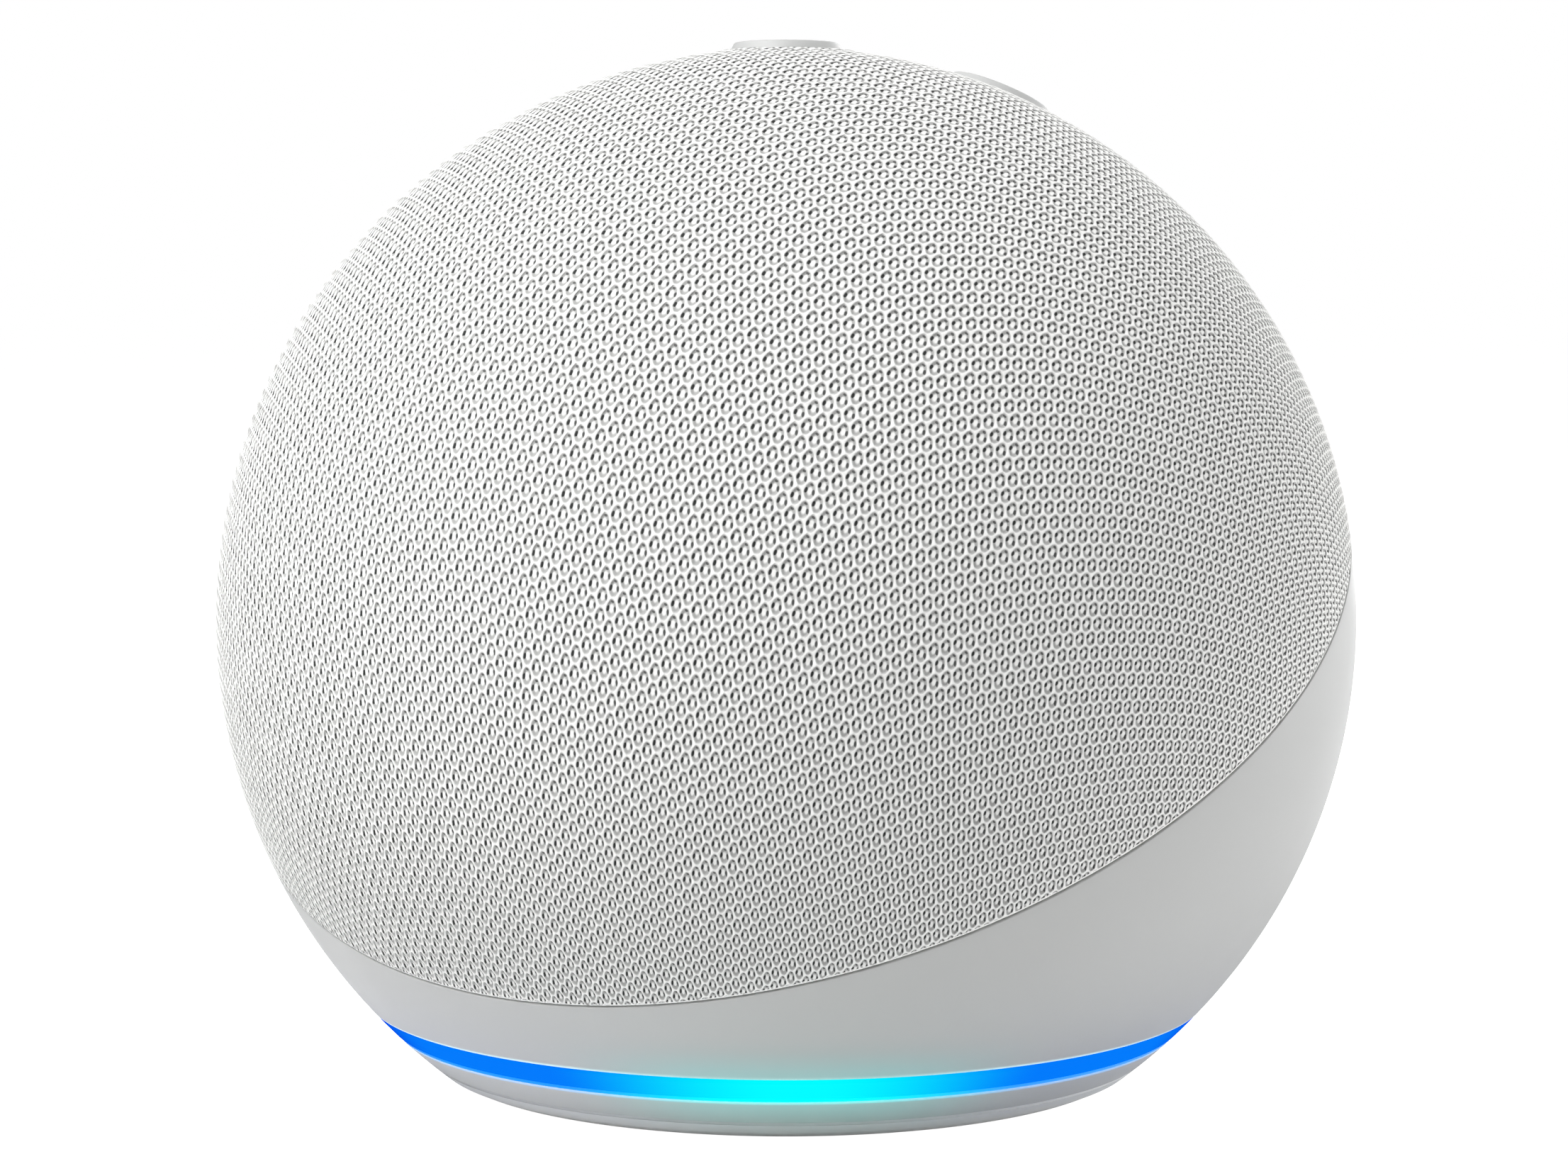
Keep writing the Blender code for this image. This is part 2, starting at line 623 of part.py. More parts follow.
def make_inner_frame():
    """A deck on the housing's bosses, with posts for the base screws and two saddles for the speaker box."""
    deck = rod("inner_frame", DECK_R, DECK_LOW, DECK_TOP, TABLE, SHELL_STEPS, "grey_plastic")
    low = BASE_TOP + GAP
    posts = round_circle("posts", POST_R, POST_AT, POST_ANGLES, low, (DECK_LOW + DECK_TOP) / 2, TABLE)
    saddle_z = DECK_TOP - 0.5 * MM + SADDLE_SIZE[2] / 2
    saddles = [block(f"saddle_{name}", SADDLE_SIZE, (0, y, saddle_z), TABLE) for name, y in SADDLES_Y.items()]
    weld(deck, posts, *saddles)
    around_box = rod("around_speaker_box", SPEAKER_BOX_R + GAP, -30 * MM, 40 * MM, DRIVER, DISC_STEPS)
    back_notch = block("back_notch", (24 * MM, 60 * MM, 4 * MM), (0, 41 * MM, DECK_LOW + 1 * MM), TABLE)
    post_holes = round_circle("post_holes", SCREW_HOLE_R, POST_AT, POST_ANGLES, 0.0, low + 5.5 * MM, TABLE)
    deck_low, deck_high = DECK_LOW - PAST, DECK_TOP + PAST
    deck_holes = round_circle("deck_holes", SCREW_HOLE_R, BOSS_AT, BOSS_ANGLES, deck_low, deck_high, TABLE)
    cut(deck, around_box, back_notch, post_holes, deck_holes)


def make_screws():
    for number, angle in enumerate(POST_ANGLES, start=1):
        x, y = at_angle(POST_AT, angle)
        screw(f"base_screw_{number}", BASE_SCREW, moved(x, y, FOOT_TOP + HEAD_RECESS_H))
    for number, angle in enumerate(BOSS_ANGLES, start=1):
        x, y = at_angle(BOSS_AT, angle)
        facing_down = moved(x, y, DECK_TOP + GAP) @ turned_by(180, "X")
        screw(f"frame_screw_{number}", FRAME_SCREW, facing_down)


def make_main_board():
    """Round board with the light ring's lamps along its edge, underneath."""
    board = rod("main_board", MAIN_BOARD_R, MAIN_BOARD_Z, MAIN_BOARD_Z + BOARD_T, TABLE, SHELL_STEPS, "board")
    angles = [360 * (number + 0.5) / LED_COUNT for number in range(LED_COUNT)]
    low = MAIN_BOARD_Z - LED_H
    weld(board, round_circle("lamps", LED_R, LED_AT, angles, low, MAIN_BOARD_Z + BOARD_T / 2, TABLE, 4))
    low, high = MAIN_BOARD_Z - PAST, MAIN_BOARD_Z + PAST
    cut(board, round_circle("board_post_holes", POST_R + 0.4 * MM, POST_AT, POST_ANGLES, low, high, TABLE))


def make_processor_stack():
    """Processor, pad, shield can and heat spreader, one over the other."""
    low = MAIN_BOARD_Z + BOARD_T + GAP
    stand("processor", PROCESSOR_SIZE, low, "black_plastic")
    stand("thermal_pad", PAD_SIZE, low + PROCESSOR_SIZE[2] + GAP, "rubber")
    can = stand("shield_can", CAN_SIZE, low, "steel")
    hollow = (CAN_SIZE[0] - 2 * CAN_T, CAN_SIZE[1] - 2 * CAN_T, CAN_SIZE[2] - CAN_T + PAST)
    cut(can, stand("shield_hollow", hollow, low - PAST))
    stand("heat_spreader", SPREADER_SIZE, low + CAN_SIZE[2] + GAP, "aluminium")


def stand(name, size, low, paint=None):
    """A block of the stack over the processor, from this height up."""
    return block(name, size, (0, STACK_Y, low + size[2] / 2), TABLE, paint)


def make_power_inlet():
    width, depth, height = JACK_SIZE
    low = JACK_BOARD_Z + JACK_BOARD_SIZE[2] + GAP
    centre = (0, JACK_FACE_Y - depth / 2, low + height / 2)
    jack = block("power_jack", JACK_SIZE, centre, TABLE, "black_plastic")
    bore = rod("jack_bore", JACK_BORE_R, JACK_FACE_Y - JACK_DEPTH, JACK_FACE_Y + PAST, PORT, 16)
    pin_low, pin_high = JACK_FACE_Y - JACK_DEPTH - 1 * MM, JACK_FACE_Y - JACK_PIN_BACK
    pin = rod("jack_pin", JACK_PIN_R, pin_low, pin_high, PORT)
    cut(jack, bore)
    weld(jack, pin)
    board_z = JACK_BOARD_Z + JACK_BOARD_SIZE[2] / 2
    block("jack_board", JACK_BOARD_SIZE, (0, JACK_BOARD_Y, board_z), TABLE, "board")
    link_low = MAIN_BOARD_Z + BOARD_T + GAP
    link_h = JACK_BOARD_Z - GAP - link_low
    link_z = link_low + link_h / 2
    block("board_connector", (*CONNECTOR_SIZE, link_h), (0, CONNECTOR_Y, link_z), TABLE, "black_plastic")


# ---------------------------------------------------------------- wiring


def smooth_route(points, between):
    """Points along a Catmull-Rom curve through these ones."""
    ends = [points[0] * 2 - points[1]] + points + [points[-1] * 2 - points[-2]]
    route = []
    for a, b, c, d in zip(ends, ends[1:], ends[2:], ends[3:]):
        for i in range(between):
            t = i / between
            turn = 2 * b + (c - a) * t + (2 * a - 5 * b + 4 * c - d) * t**2 + (3 * b - a - 3 * c + d) * t**3
            route.append(turn / 2)
    return route + [points[-1]]


def make_button_ribbon():
    """Flat flexible lead from under the button board, behind the speaker box, to the main board."""
    start = KEYS @ Vector((0.0, 16.0 * MM, KEY_BOARD_Z - GAP))
    route = [
        start,
        start + Vector((0.0, 1.5 * MM, -7.0 * MM)),
        Vector((0.0, 19.0 * MM, 42.0 * MM)),
        Vector((0.0, 15.0 * MM, 22.0 * MM)),
        Vector((0.0, 14.0 * MM, 13.0 * MM)),
        Vector((0.0, 14.0 * MM, MAIN_BOARD_Z + BOARD_T + GAP)),
    ]
    line = smooth_route(route, 3)
    mesh = bpy.data.meshes.new("button_ribbon")
    sides = [(x, p.y, p.z) for p in line for x in (-RIBBON_HALF, RIBBON_HALF)]
    mesh.from_pydata(sides, [], [(2 * i, 2 * i + 1, 2 * i + 3, 2 * i + 2) for i in range(len(line) - 1)])
    ribbon = add_object("button_ribbon", mesh, TABLE, "amber_film")
    solid = ribbon.modifiers.new("Thickness", "SOLIDIFY")
    solid.thickness = RIBBON_T
    solid.offset = 0.0


def make_speaker_leads():
    """Two wires from the main board to the back of the speaker box."""
    low = MAIN_BOARD_Z + BOARD_T + GAP
    back = -SPEAKER_BOX_BACK + GAP
    for name, x, paint in (("red", 7.5 * MM, "red_wire"), ("black", 10.0 * MM, "black_plastic")):
        route = [
            Vector((x, 13.5 * MM, low)),
            Vector((x, 13.5 * MM, 12.0 * MM)),
            Vector((x, 15.5 * MM, 24.0 * MM)),
            Vector((x, 15.0 * MM, 35.0 * MM)),
            Vector((x, back, 38.0 * MM)),
        ]
        curve = bpy.data.curves.new(f"speaker_lead_{name}", "CURVE")
        curve.dimensions = "3D"
        curve.bevel_depth = LEAD_R
        curve.bevel_resolution = 1
        curve.use_fill_caps = True
        line = smooth_route(route, 3)
        spline = curve.splines.new("POLY")
        spline.points.add(len(line) - 1)
        for point, place in zip(spline.points, line):
            point.co = (*place, 1.0)
        add_object(f"speaker_lead_{name}", curve, TABLE, paint)


# ---------------------------------------------------------------- the whole

clear_scene()
parts = add_collection("smart_speaker")
cutters = add_collection("cutters")
materials = {name: add_material(name) for name in PAINTS}

TABLE = Matrix.Identity(4)
BALL = moved(z=BALL_Z)
CAP = BALL @ Matrix.Rotation(CAP_LEAN, 4, "X")
KEYS = BALL @ Matrix.Rotation(-KEY_LEAN, 4, "X")
DRIVER = moved(z=DRIVER_Z) @ turned_by(90, "X")
PORT = moved(z=PORT_Z) @ turned_by(-90, "X") @ turned_by(9, "Z")

key_holes = make_key_holes()
make_fabric_cover()
make_grille_shell()
make_snap_ring()
make_lower_housing()
make_light_ring()
make_base_cover()
make_rubber_foot()
for button_name, button_angle in BUTTONS.items():
    make_button(button_name, button_angle)
    make_switch(button_name, button_angle)
make_key_board()
make_microphones()
make_speaker_box()
make_driver_fixings()
make_speaker_frame()
make_motor()
make_moving_cone()
make_suspension()
make_inner_frame()
make_screws()
make_main_board()
make_processor_stack()
make_power_inlet()
make_button_ribbon()
make_speaker_leads()
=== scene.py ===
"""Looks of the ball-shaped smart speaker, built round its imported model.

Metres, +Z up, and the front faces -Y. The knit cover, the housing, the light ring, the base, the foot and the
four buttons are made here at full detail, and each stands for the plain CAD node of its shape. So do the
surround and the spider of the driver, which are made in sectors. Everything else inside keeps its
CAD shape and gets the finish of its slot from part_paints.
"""

import json
import math

import bpy
import numpy as np
from mathutils import Matrix, Vector


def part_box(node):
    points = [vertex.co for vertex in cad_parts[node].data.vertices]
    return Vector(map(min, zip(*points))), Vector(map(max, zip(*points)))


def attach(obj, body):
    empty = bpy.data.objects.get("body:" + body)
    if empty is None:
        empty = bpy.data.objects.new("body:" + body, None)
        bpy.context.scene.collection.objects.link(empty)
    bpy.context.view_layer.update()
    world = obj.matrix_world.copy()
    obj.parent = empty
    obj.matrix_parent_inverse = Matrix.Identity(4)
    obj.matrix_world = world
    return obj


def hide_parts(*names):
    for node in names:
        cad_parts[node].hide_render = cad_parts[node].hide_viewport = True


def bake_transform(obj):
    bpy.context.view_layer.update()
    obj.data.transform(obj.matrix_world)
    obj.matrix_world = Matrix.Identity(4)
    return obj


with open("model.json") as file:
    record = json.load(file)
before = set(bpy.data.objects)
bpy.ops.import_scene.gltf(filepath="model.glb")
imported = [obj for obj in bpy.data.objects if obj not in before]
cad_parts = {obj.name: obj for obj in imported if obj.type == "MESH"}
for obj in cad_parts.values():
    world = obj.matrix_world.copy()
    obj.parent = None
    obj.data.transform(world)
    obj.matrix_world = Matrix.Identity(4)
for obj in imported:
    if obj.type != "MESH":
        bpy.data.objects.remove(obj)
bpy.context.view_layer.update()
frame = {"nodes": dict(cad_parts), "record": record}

MM = 0.001

# The ball, and the leaning plane where the knit meets the housing
BALL_R = 49.5 * MM
BALL_Z = 39.6 * MM
CAP_LEAN = math.radians(31)
CAP_PLANE = -2.2 * MM
SEAM = CAP_PLANE + 0.2 * MM
HOUSING_RIM = SEAM - 0.1 * MM
GAP = 0.3 * MM
HOUSING_T = 2.2 * MM
FLANGE_TOP = 8.4 * MM
FLANGE_HOLE_R = 31.0 * MM

# Steps round the ball, and small roundings of edges
TURNS = 240
RIM_EDGE = 0.12 * MM
LOW_EDGE = 0.25 * MM
RING_EDGE = 0.12 * MM
BASE_EDGE = 0.06 * MM
KEY_EDGE = 0.15 * MM
STEM_EDGE = 0.1 * MM

# Ring and foot
RING_HOLE_R = 31.2 * MM
FOOT_FACE_R = 28.7 * MM
FOOT_HOLE_R = 22.0 * MM
FOOT_TOE = 0.2 * MM
FOOT_SIDE = 0.7 * MM

# Buttons, round an axis that leans to the back
KEY_LEAN = math.radians(16.3)
KEY_ANGLES = {"action": -90, "volume_up": 0, "mic_off": 90, "volume_down": 180}
KEY_TOP = BALL_R + 0.5 * MM
KEY_TOP_R = 4.5 * MM
KEY_R = 5.0 * MM
KEY_HOLE_R = 5.3 * MM
KEY_LIP_R = 6.2 * MM
KEY_LIP_TOP = 45.7 * MM
KEY_LOW = 44.5 * MM
KEY_SHOULDER = BALL_R - 0.5 * MM
KEY_WELL_R = 3.9 * MM
KEY_WELL_TOP = 48.3 * MM
STEM_R = 1.5 * MM
STEM_LOW = 39.7 * MM
STEM_TOP = 47.3 * MM
STEM_OFF_AXIS = 47.5 * MM * math.sin(KEY_LEAN)
KEY_STEPS = 96
STEM_STEPS = 24
SYMBOL_SPAN = 2.8 * MM
SYMBOL_LINE = 0.36 * MM
SYMBOL_LOW = KEY_TOP - 0.05 * MM
SYMBOL_HIGH = KEY_TOP + 0.012 * MM

# Power inlet at the back
PORT_Z = 16.3 * MM
PORT_R = 4.8 * MM
PORT_WALL_R = 6.4 * MM
PORT_FLOOR_Y = 35.8 * MM + GAP
PORT_FILLET = 0.35 * MM
PORT_MOUTH = 0.4 * MM
PORT_BORE_R = PORT_R + 0.02 * MM
PORT_WALL_START = 0.9 * HOUSING_T

# Driver, round an axis that points to the front: the sprung parts between the basket and the cone
DRIVER_Z = 44.0 * MM
DRIVER_FACE = 29.8 * MM
SUSPENSION_T = 0.4 * MM
ROLL_IN_R = 15.4 * MM
ROLL_OUT_R = 18.6 * MM
ROLL_RIM_R = 20.4 * MM
ROLL_H = 1.3 * MM
SPIDER_Z = 16.6 * MM
SPIDER_IN_R = 7.4 * MM
SPIDER_OUT_R = 12.8 * MM
SPIDER_WAVE_H = 0.45 * MM
SPIDER_WAVES = 2.5
ROLL_STEPS = 16
SPIDER_STEPS = 30
SECTORS = 12
SECTOR_STEPS = 6

# Knit: cells in columns that run from the front edge over the top, every second column half a cell along
COLUMN = 0.9535 * MM
ROW = 1.632 * MM
ROW_START = -0.29
SPREAD_3 = 0.0126
SPREAD_5 = 0.002
CAP_ANGLE_ROUNDS = 8
YARN_RISE = 0.02 * MM
RIM_DROP = 0.03 * MM
PIT_DROP = 0.13 * MM
LOOP_DROP = 0.02 * MM
CORNER_GRID = 0.05 * MM

# How far a cell's size, place in millimetres and lean in radians vary, and how the two kinds of cell lean
SIZE_SPREAD = 0.05
SHIFT_SPREAD = 0.03
LEAN_SPREAD = 0.05
LEANS = (-0.04, 0.10)

# Edges of the knit: folded round, raised round the buttons, and with less relief close to the fold
FOLD_R = 0.25 * MM
FOLD_DEPTH = 0.85 * MM
FOLD_ANGLES = (30, 60, 90)
COLLAR_H = 0.12 * MM
COLLAR_W = 1.1 * MM
CALM_W = 0.5 * MM
CALM_RELIEF = 0.15

# Coordinates on the knit: a place off every cell's pattern for the folds, and the width of the flat layout
OFF_CELL = 5.0
LAYOUT_SPAN = 2.1

# Directions and frames
UP = Vector((0.0, 0.0, 1.0))
BALL = Matrix.Translation((0.0, 0.0, BALL_Z))
CAP = BALL @ Matrix.Rotation(CAP_LEAN, 4, "X")
KEYS = BALL @ Matrix.Rotation(-KEY_LEAN, 4, "X")
TABLE = Matrix.Identity(4)
DRIVER = Matrix.Translation((0.0, 0.0, DRIVER_Z)) @ Matrix.Rotation(math.radians(90), 4, "X")

# Light ring: cyan in the middle of a bright arc, where the voice came from, and deep blue far round from it
ARC_AZIMUTH = math.radians(31)
CYAN_START = math.radians(2)
CYAN_END = math.radians(34)
DEEP_START = math.radians(56)
DEEP_END = math.radians(80)
RING_CYAN = (0.0, 0.97, 1.0)
RING_BLUE = (0.0, 0.195, 0.97)
RING_DEEP = (0.0, 0.03, 0.75)

# Its light on the plastic next to it, painted into the plastic as painted light: a cyan tint of its colour, a
# painted glow and a painted highlight line along the ring's edges
GLOW_START = math.radians(8)
GLOW_TINT_REACH = 5.5 * MM
GLOW_REACH = 4.2 * MM
GLOW = (0.0, 0.10, 0.095)
GLOW_SHARES = (0.78, 0.98, 0.98)
LIT_EDGE_START = GAP + 0.10 * MM
LIT_EDGE_END = GAP + 0.38 * MM

# Studio
CAMERA_AZIMUTH = 29.65
CAMERA_ELEVATION = 5.12
CAMERA_DISTANCE = 6.5 * BALL_R
CAMERA_LENS = 84.1
CAMERA_SHIFT = (-0.00145, 0.01908)
LIGHT_DISTANCE = 0.6
LIGHT_SIZE = 0.5
FLOOR_R = 6.0
FLOOR_T = 0.02
FLOOR_CAST = 0.07
WORLD_CAST = 0.0
SOFTBOXES = (
    # name, azimuth, elevation and power. Azimuth 0 is in front of the speaker and 90 on its right
    ("front_low", -15, 15, 0.3),
    ("front_high", -20, 50, 5.0),
    ("right", 120, 3, 3.2),
    ("right_back", 165, 20, 1.0),
    ("left_back", -120, 60, 0.3),
    ("back", -165, 15, 2.0),
)

random = np.random.default_rng(11)


# ---------------------------------------------------------------- meshes


def add_object(name, mesh, paint, body, slot, *nodes):
    """A piece in the row frame that rides on a body, and the CAD nodes it stands for. The slot is not used.
    """
    obj = bpy.data.objects.new(name, mesh)
    bpy.context.scene.collection.objects.link(obj)
    mesh.materials.append(paint)
    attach(obj, body)
    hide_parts(*nodes)


def mesh_of(name, points, faces):
    """A new mesh of these points and faces."""
    mesh = bpy.data.meshes.new(name)
    mesh.from_pydata(points, [], faces)
    mesh.update()
    return mesh


def turned_mesh(name, profile, place, steps):
    """A turned solid about place's +Z. The (radius, height) points run down the outer side."""
    points, rings = [], []
    for radius, height in profile:
        count = steps if radius > 0 else 1
        rings.append(list(range(len(points), len(points) + count)) * (steps // count))
        for i in range(count):
            turn = 2 * math.pi * i / steps
            points.append(place @ Vector((radius * math.cos(turn), radius * math.sin(turn), height)))
    if profile[0][0] > 0:
        rings.append(rings[0])
    faces = []
    for upper, lower in zip(rings, rings[1:]):
        for i in range(steps):
            j = (i + 1) % steps
            corners = [upper[i], lower[i], lower[j], upper[j]]
            kept = [c for k, c in enumerate(corners) if c != corners[k - 1]]
            if len(kept) > 2:
                faces.append(kept)
    return mesh_of(name, points, faces)


def rounded(profile, radius, steps=4):
    """The profile with its corners rounded, except those on the axis. None takes over half of a side."""
    made = []
    count = len(profile)
    closed = profile[0][0] > 0
    for i, corner in enumerate(profile):
        corner = Vector(corner)
        if corner.x == 0 or (not closed and i in (0, count - 1)):
            made.append(tuple(corner))
            continue
        before = Vector(profile[i - 1]) - corner
        after = Vector(profile[(i + 1) % count]) - corner
        reach = min(radius, before.length / 2.2, after.length / 2.2)
        start = corner + before.normalized() * reach
        end = corner + after.normalized() * reach
        for k in range(steps + 1):
            t = k / steps
            made.append(tuple(start * (1 - t) ** 2 + corner * 2 * t * (1 - t) + end * t**2))
    return made


def joined(name, meshes):
    """One mesh that holds these meshes as they are."""
    points, faces = [], []
    for mesh in meshes:
        first = len(points)
        points += [v.co.copy() for v in mesh.vertices]
        faces += [[first + v for v in face.vertices] for face in mesh.polygons]
        bpy.data.meshes.remove(mesh)
    return mesh_of(name, points, faces)


def cut(mesh, cutter):
    """The mesh with the cutter mesh taken away."""
    holder = bpy.data.objects.new("holder", mesh)
    tool = bpy.data.objects.new("tool", cutter)
    for obj in (holder, tool):
        bpy.context.scene.collection.objects.link(obj)
    boolean = holder.modifiers.new("Cut", "BOOLEAN")
    boolean.object = tool
    graph = bpy.context.evaluated_depsgraph_get()
    made = bpy.data.meshes.new_from_object(holder.evaluated_get(graph), depsgraph=graph)
    made.name = mesh.name
    for obj in (holder, tool):
        bpy.data.objects.remove(obj)
    return made


def smooth(mesh, degrees=35):
    """The mesh with smooth shading, but sharp edges where it bends by more than this."""
    mesh.shade_smooth()
    mesh.set_sharp_from_angle(angle=math.radians(degrees))
    return mesh


def ball_r_at(height):
    """The ball's radius at this height above the table."""
    return math.sqrt(BALL_R**2 - (height - BALL_Z) ** 2)


def ball_band(high, low, steps):
    """Points down the outside of the ball, by height above the table."""
    heights = [high + (low - high) * i / steps for i in range(steps + 1)]
    return [(ball_r_at(h), h) for h in heights]


# ---------------------------------------------------------------- materials


class Paint:
    """A Principled material and the few kinds of node that the finishes here are made from."""

    def __init__(self, name, colour, roughness, **values):
        self.material = bpy.data.materials.new(name)
        self.material.use_nodes = True
        self.tree = self.material.node_tree
        self.shader = self.tree.nodes["Principled BSDF"]
        self.put("Base Color", (*colour, 1.0))
        self.put("Roughness", roughness)
        for socket, value in values.items():
            self.put(socket.replace("_", " "), value)
        self.colour = colour
        self.normal = None

    def put(self, socket, value):
        """Sets a value on the shader's own socket."""
        self.shader.inputs[socket].default_value = value

    def node(self, kind, inputs=(), **settings):
        """A node with these settings. An input is a value or another node's output."""
        made = self.tree.nodes.new("ShaderNode" + kind)
        for name, value in settings.items():
            setattr(made, name, value)
        for socket, value in dict(inputs).items():
            if isinstance(value, bpy.types.NodeSocket):
                self.tree.links.new(value, made.inputs[socket])
            else:
                made.inputs[socket].default_value = value
        return made

    def place(self):
        """Where the point is, in metres in the row frame."""
        return self.node("TexCoord").outputs["Object"]

    def noise(self, scale, detail=3.0, stretch=(1.0, 1.0, 1.0)):
        """Noise from 0 to 1, with this many features a metre."""
        place = self.node("Mapping", {"Vector": self.place(), "Scale": stretch}).outputs[0]
        return self.node("TexNoise", {"Vector": place, "Scale": scale, "Detail": detail}).outputs["Fac"]

    def bands(self, scale, direction, distortion=0.0):
        """Waves from 0 to 1 along one axis."""
        waves = {"Vector": self.place(), "Scale": scale, "Distortion": distortion}
        return self.node("TexWave", waves, bands_direction=direction).outputs["Fac"]

    def math(self, operation, a, b=0.0):
        """The result of one Math node."""
        return self.node("Math", {0: a, 1: b}, operation=operation).outputs[0]

    def scaled(self, source, low, high, start=0.0, end=1.0):
        """The source from start to end, taken to low and high."""
        ends = {"Value": source, "From Min": start, "From Max": end, "To Min": low, "To Max": high}
        return self.node("MapRange", ends, interpolation_type="SMOOTHSTEP").outputs[0]

    def blend(self, factor, low, high):
        """A colour from low to high."""
        mix = self.node("Mix", {0: factor}, data_type="RGBA")
        for socket, colour in ((6, low), (7, high)):
            if isinstance(colour, bpy.types.NodeSocket):
                self.tree.links.new(colour, mix.inputs[socket])
            else:
                mix.inputs[socket].default_value = (*colour, 1.0)
        return mix.outputs[2]

    def feed(self, socket, source):
        """Links a node's output to the shader's socket."""
        self.tree.links.new(source, self.shader.inputs[socket])

    def mottle(self, source, amount):
        """Varies the colour by this share of itself."""
        low = [c * (1 - amount) for c in self.colour]
        high = [min(1.0, c * (1 + amount)) for c in self.colour]
        self.feed("Base Color", self.blend(source, low, high))

    def bump(self, source, depth):
        """Adds relief of this depth, in metres, over what is there."""
        inputs = {"Height": source, "Strength": 1.0, "Distance": depth}
        if self.normal is not None:
            inputs["Normal"] = self.normal
        self.normal = self.node("Bump", inputs).outputs[0]
        self.feed("Normal", self.normal)


def moulded(name, colour, roughness, grain=2600.0, depth=0.006 * MM, mottle=0.015):
    """Moulded plastic: a fine spark-eroded grain, and a gloss and colour that drift a little."""
    paint = Paint(name, colour, roughness, Specular_IOR_Level=0.5)
    drift = paint.noise(60.0)
    paint.mottle(drift, mottle)
    paint.feed("Roughness", paint.scaled(drift, roughness - 0.05, roughness + 0.05, 0.3, 0.7))
    paint.bump(paint.noise(grain, 2.0), depth)
    return paint


def rubber(name, colour, roughness=0.8):
    """Dull rubber with a coarser, softer grain than the plastic's."""
    paint = moulded(name, colour, roughness, 1500.0, 0.015 * MM, 0.03)
    paint.put("Specular IOR Level", 0.3)
    return paint


def metal(name, colour, roughness, direction="X", scale=900.0):
    """Rolled or turned metal with fine lines."""
    paint = Paint(name, colour, roughness, Metallic=1.0)
    lines = paint.bands(scale, direction, 3.0)
    paint.mottle(paint.noise(250.0), 0.06)
    paint.feed("Roughness", paint.scaled(lines, roughness - 0.08, roughness + 0.1))
    paint.bump(lines, 0.003 * MM)
    return paint


def circuit_board():
    """Green solder mask with copper tracks just visible under it, and tinned pads."""
    paint = Paint("circuit_board", (0.02, 0.16, 0.07), 0.35, Coat_Weight=0.3)
    grid = {"Vector": paint.place(), "Scale": 420.0, "Mortar Size": 0.06}
    grid |= {"Brick Width": 0.9, "Row Height": 0.35}
    track = paint.node("TexBrick", grid).outputs["Fac"]
    pads = paint.node("TexVoronoi", {"Vector": paint.place(), "Scale": 300.0}).outputs["Distance"]
    pad = paint.scaled(pads, 1.0, 0.0, 0.10, 0.14)
    masked = paint.blend(track, (0.02, 0.15, 0.07), (0.04, 0.27, 0.12))
    paint.feed("Base Color", paint.blend(pad, masked, (0.70, 0.69, 0.66)))
    paint.feed("Roughness", paint.scaled(pad, 0.35, 0.25))
    paint.bump(track, 0.03 * MM)
    return paint


def cone_paper():
    """Pressed paper: long fibres over a soft mottle."""
    paint = Paint("cone_paper", (0.045, 0.045, 0.05), 0.85, Sheen_Weight=0.2)
    fibres = paint.noise(900.0, 6.0, (1.0, 5.0, 1.0))
    paint.mottle(fibres, 0.5)
    paint.feed("Roughness", paint.scaled(fibres, 0.75, 0.95))
    paint.bump(fibres, 0.05 * MM)
    return paint


def ferrite():
    """Sintered ferrite: dark, hard and finely speckled."""
    paint = Paint("ferrite", (0.07, 0.07, 0.08), 0.55, Specular_IOR_Level=0.6)
    grains = paint.noise(1800.0, 5.0)
    paint.mottle(grains, 0.4)
    paint.feed("Roughness", paint.scaled(grains, 0.4, 0.7))
    paint.bump(grains, 0.02 * MM)
    return paint


def copper_winding():
    """Enamelled wire, wound in fine turns along the coil's axis."""
    paint = Paint("copper_winding", (0.72, 0.36, 0.18), 0.3, Metallic=1.0, Coat_Weight=0.4)
    turns = paint.bands(1400.0, "Y")
    paint.mottle(turns, 0.25)
    paint.feed("Roughness", paint.scaled(turns, 0.25, 0.45))
    paint.bump(turns, 0.08 * MM)
    return paint


def ribbon_film():
    """Amber film over copper conductors that run along it."""
    paint = Paint("ribbon_film", (0.62, 0.27, 0.04), 0.3, Coat_Weight=0.5)
    conductors = paint.scaled(paint.bands(330.0, "X"), 0.0, 1.0, 0.35, 0.55)
    paint.feed("Base Color", paint.blend(conductors, (0.42, 0.16, 0.02), (0.72, 0.34, 0.07)))
    paint.feed("Roughness", paint.scaled(conductors, 0.25, 0.38))
    paint.bump(conductors, 0.03 * MM)
    return paint


def from_arc(paint):
    """The angle round the speaker from the middle of the bright arc, in radians, from 0 at the arc to pi."""
    turn = {"Vector": paint.place(), "Angle": -ARC_AZIMUTH}
    turned = paint.node("VectorRotate", turn, rotation_type="Z_AXIS")
    parts = paint.node("SeparateXYZ", {0: turned.outputs[0]})
    away = paint.math("ARCTAN2", parts.outputs["X"], paint.math("MULTIPLY", parts.outputs["Y"], -1.0))
    return paint.math("ABSOLUTE", away)


def light_diffuser():
    """The lit ring: cyan where the voice came from, blue beside it, and deep blue far round."""
    paint = Paint("light_diffuser", (0.002, 0.004, 0.01), 0.3, Emission_Strength=1.0, Specular_IOR_Level=0.0)
    angle = from_arc(paint)
    cyan = paint.scaled(angle, 1.0, 0.0, CYAN_START, CYAN_END)
    deep = paint.scaled(angle, 0.0, 1.0, DEEP_START, DEEP_END)
    blue = paint.blend(deep, RING_BLUE, RING_DEEP)
    paint.feed("Emission Color", paint.blend(cyan, blue, RING_CYAN))
    paint.bump(paint.noise(1200.0, 2.0), 0.004 * MM)
    return paint


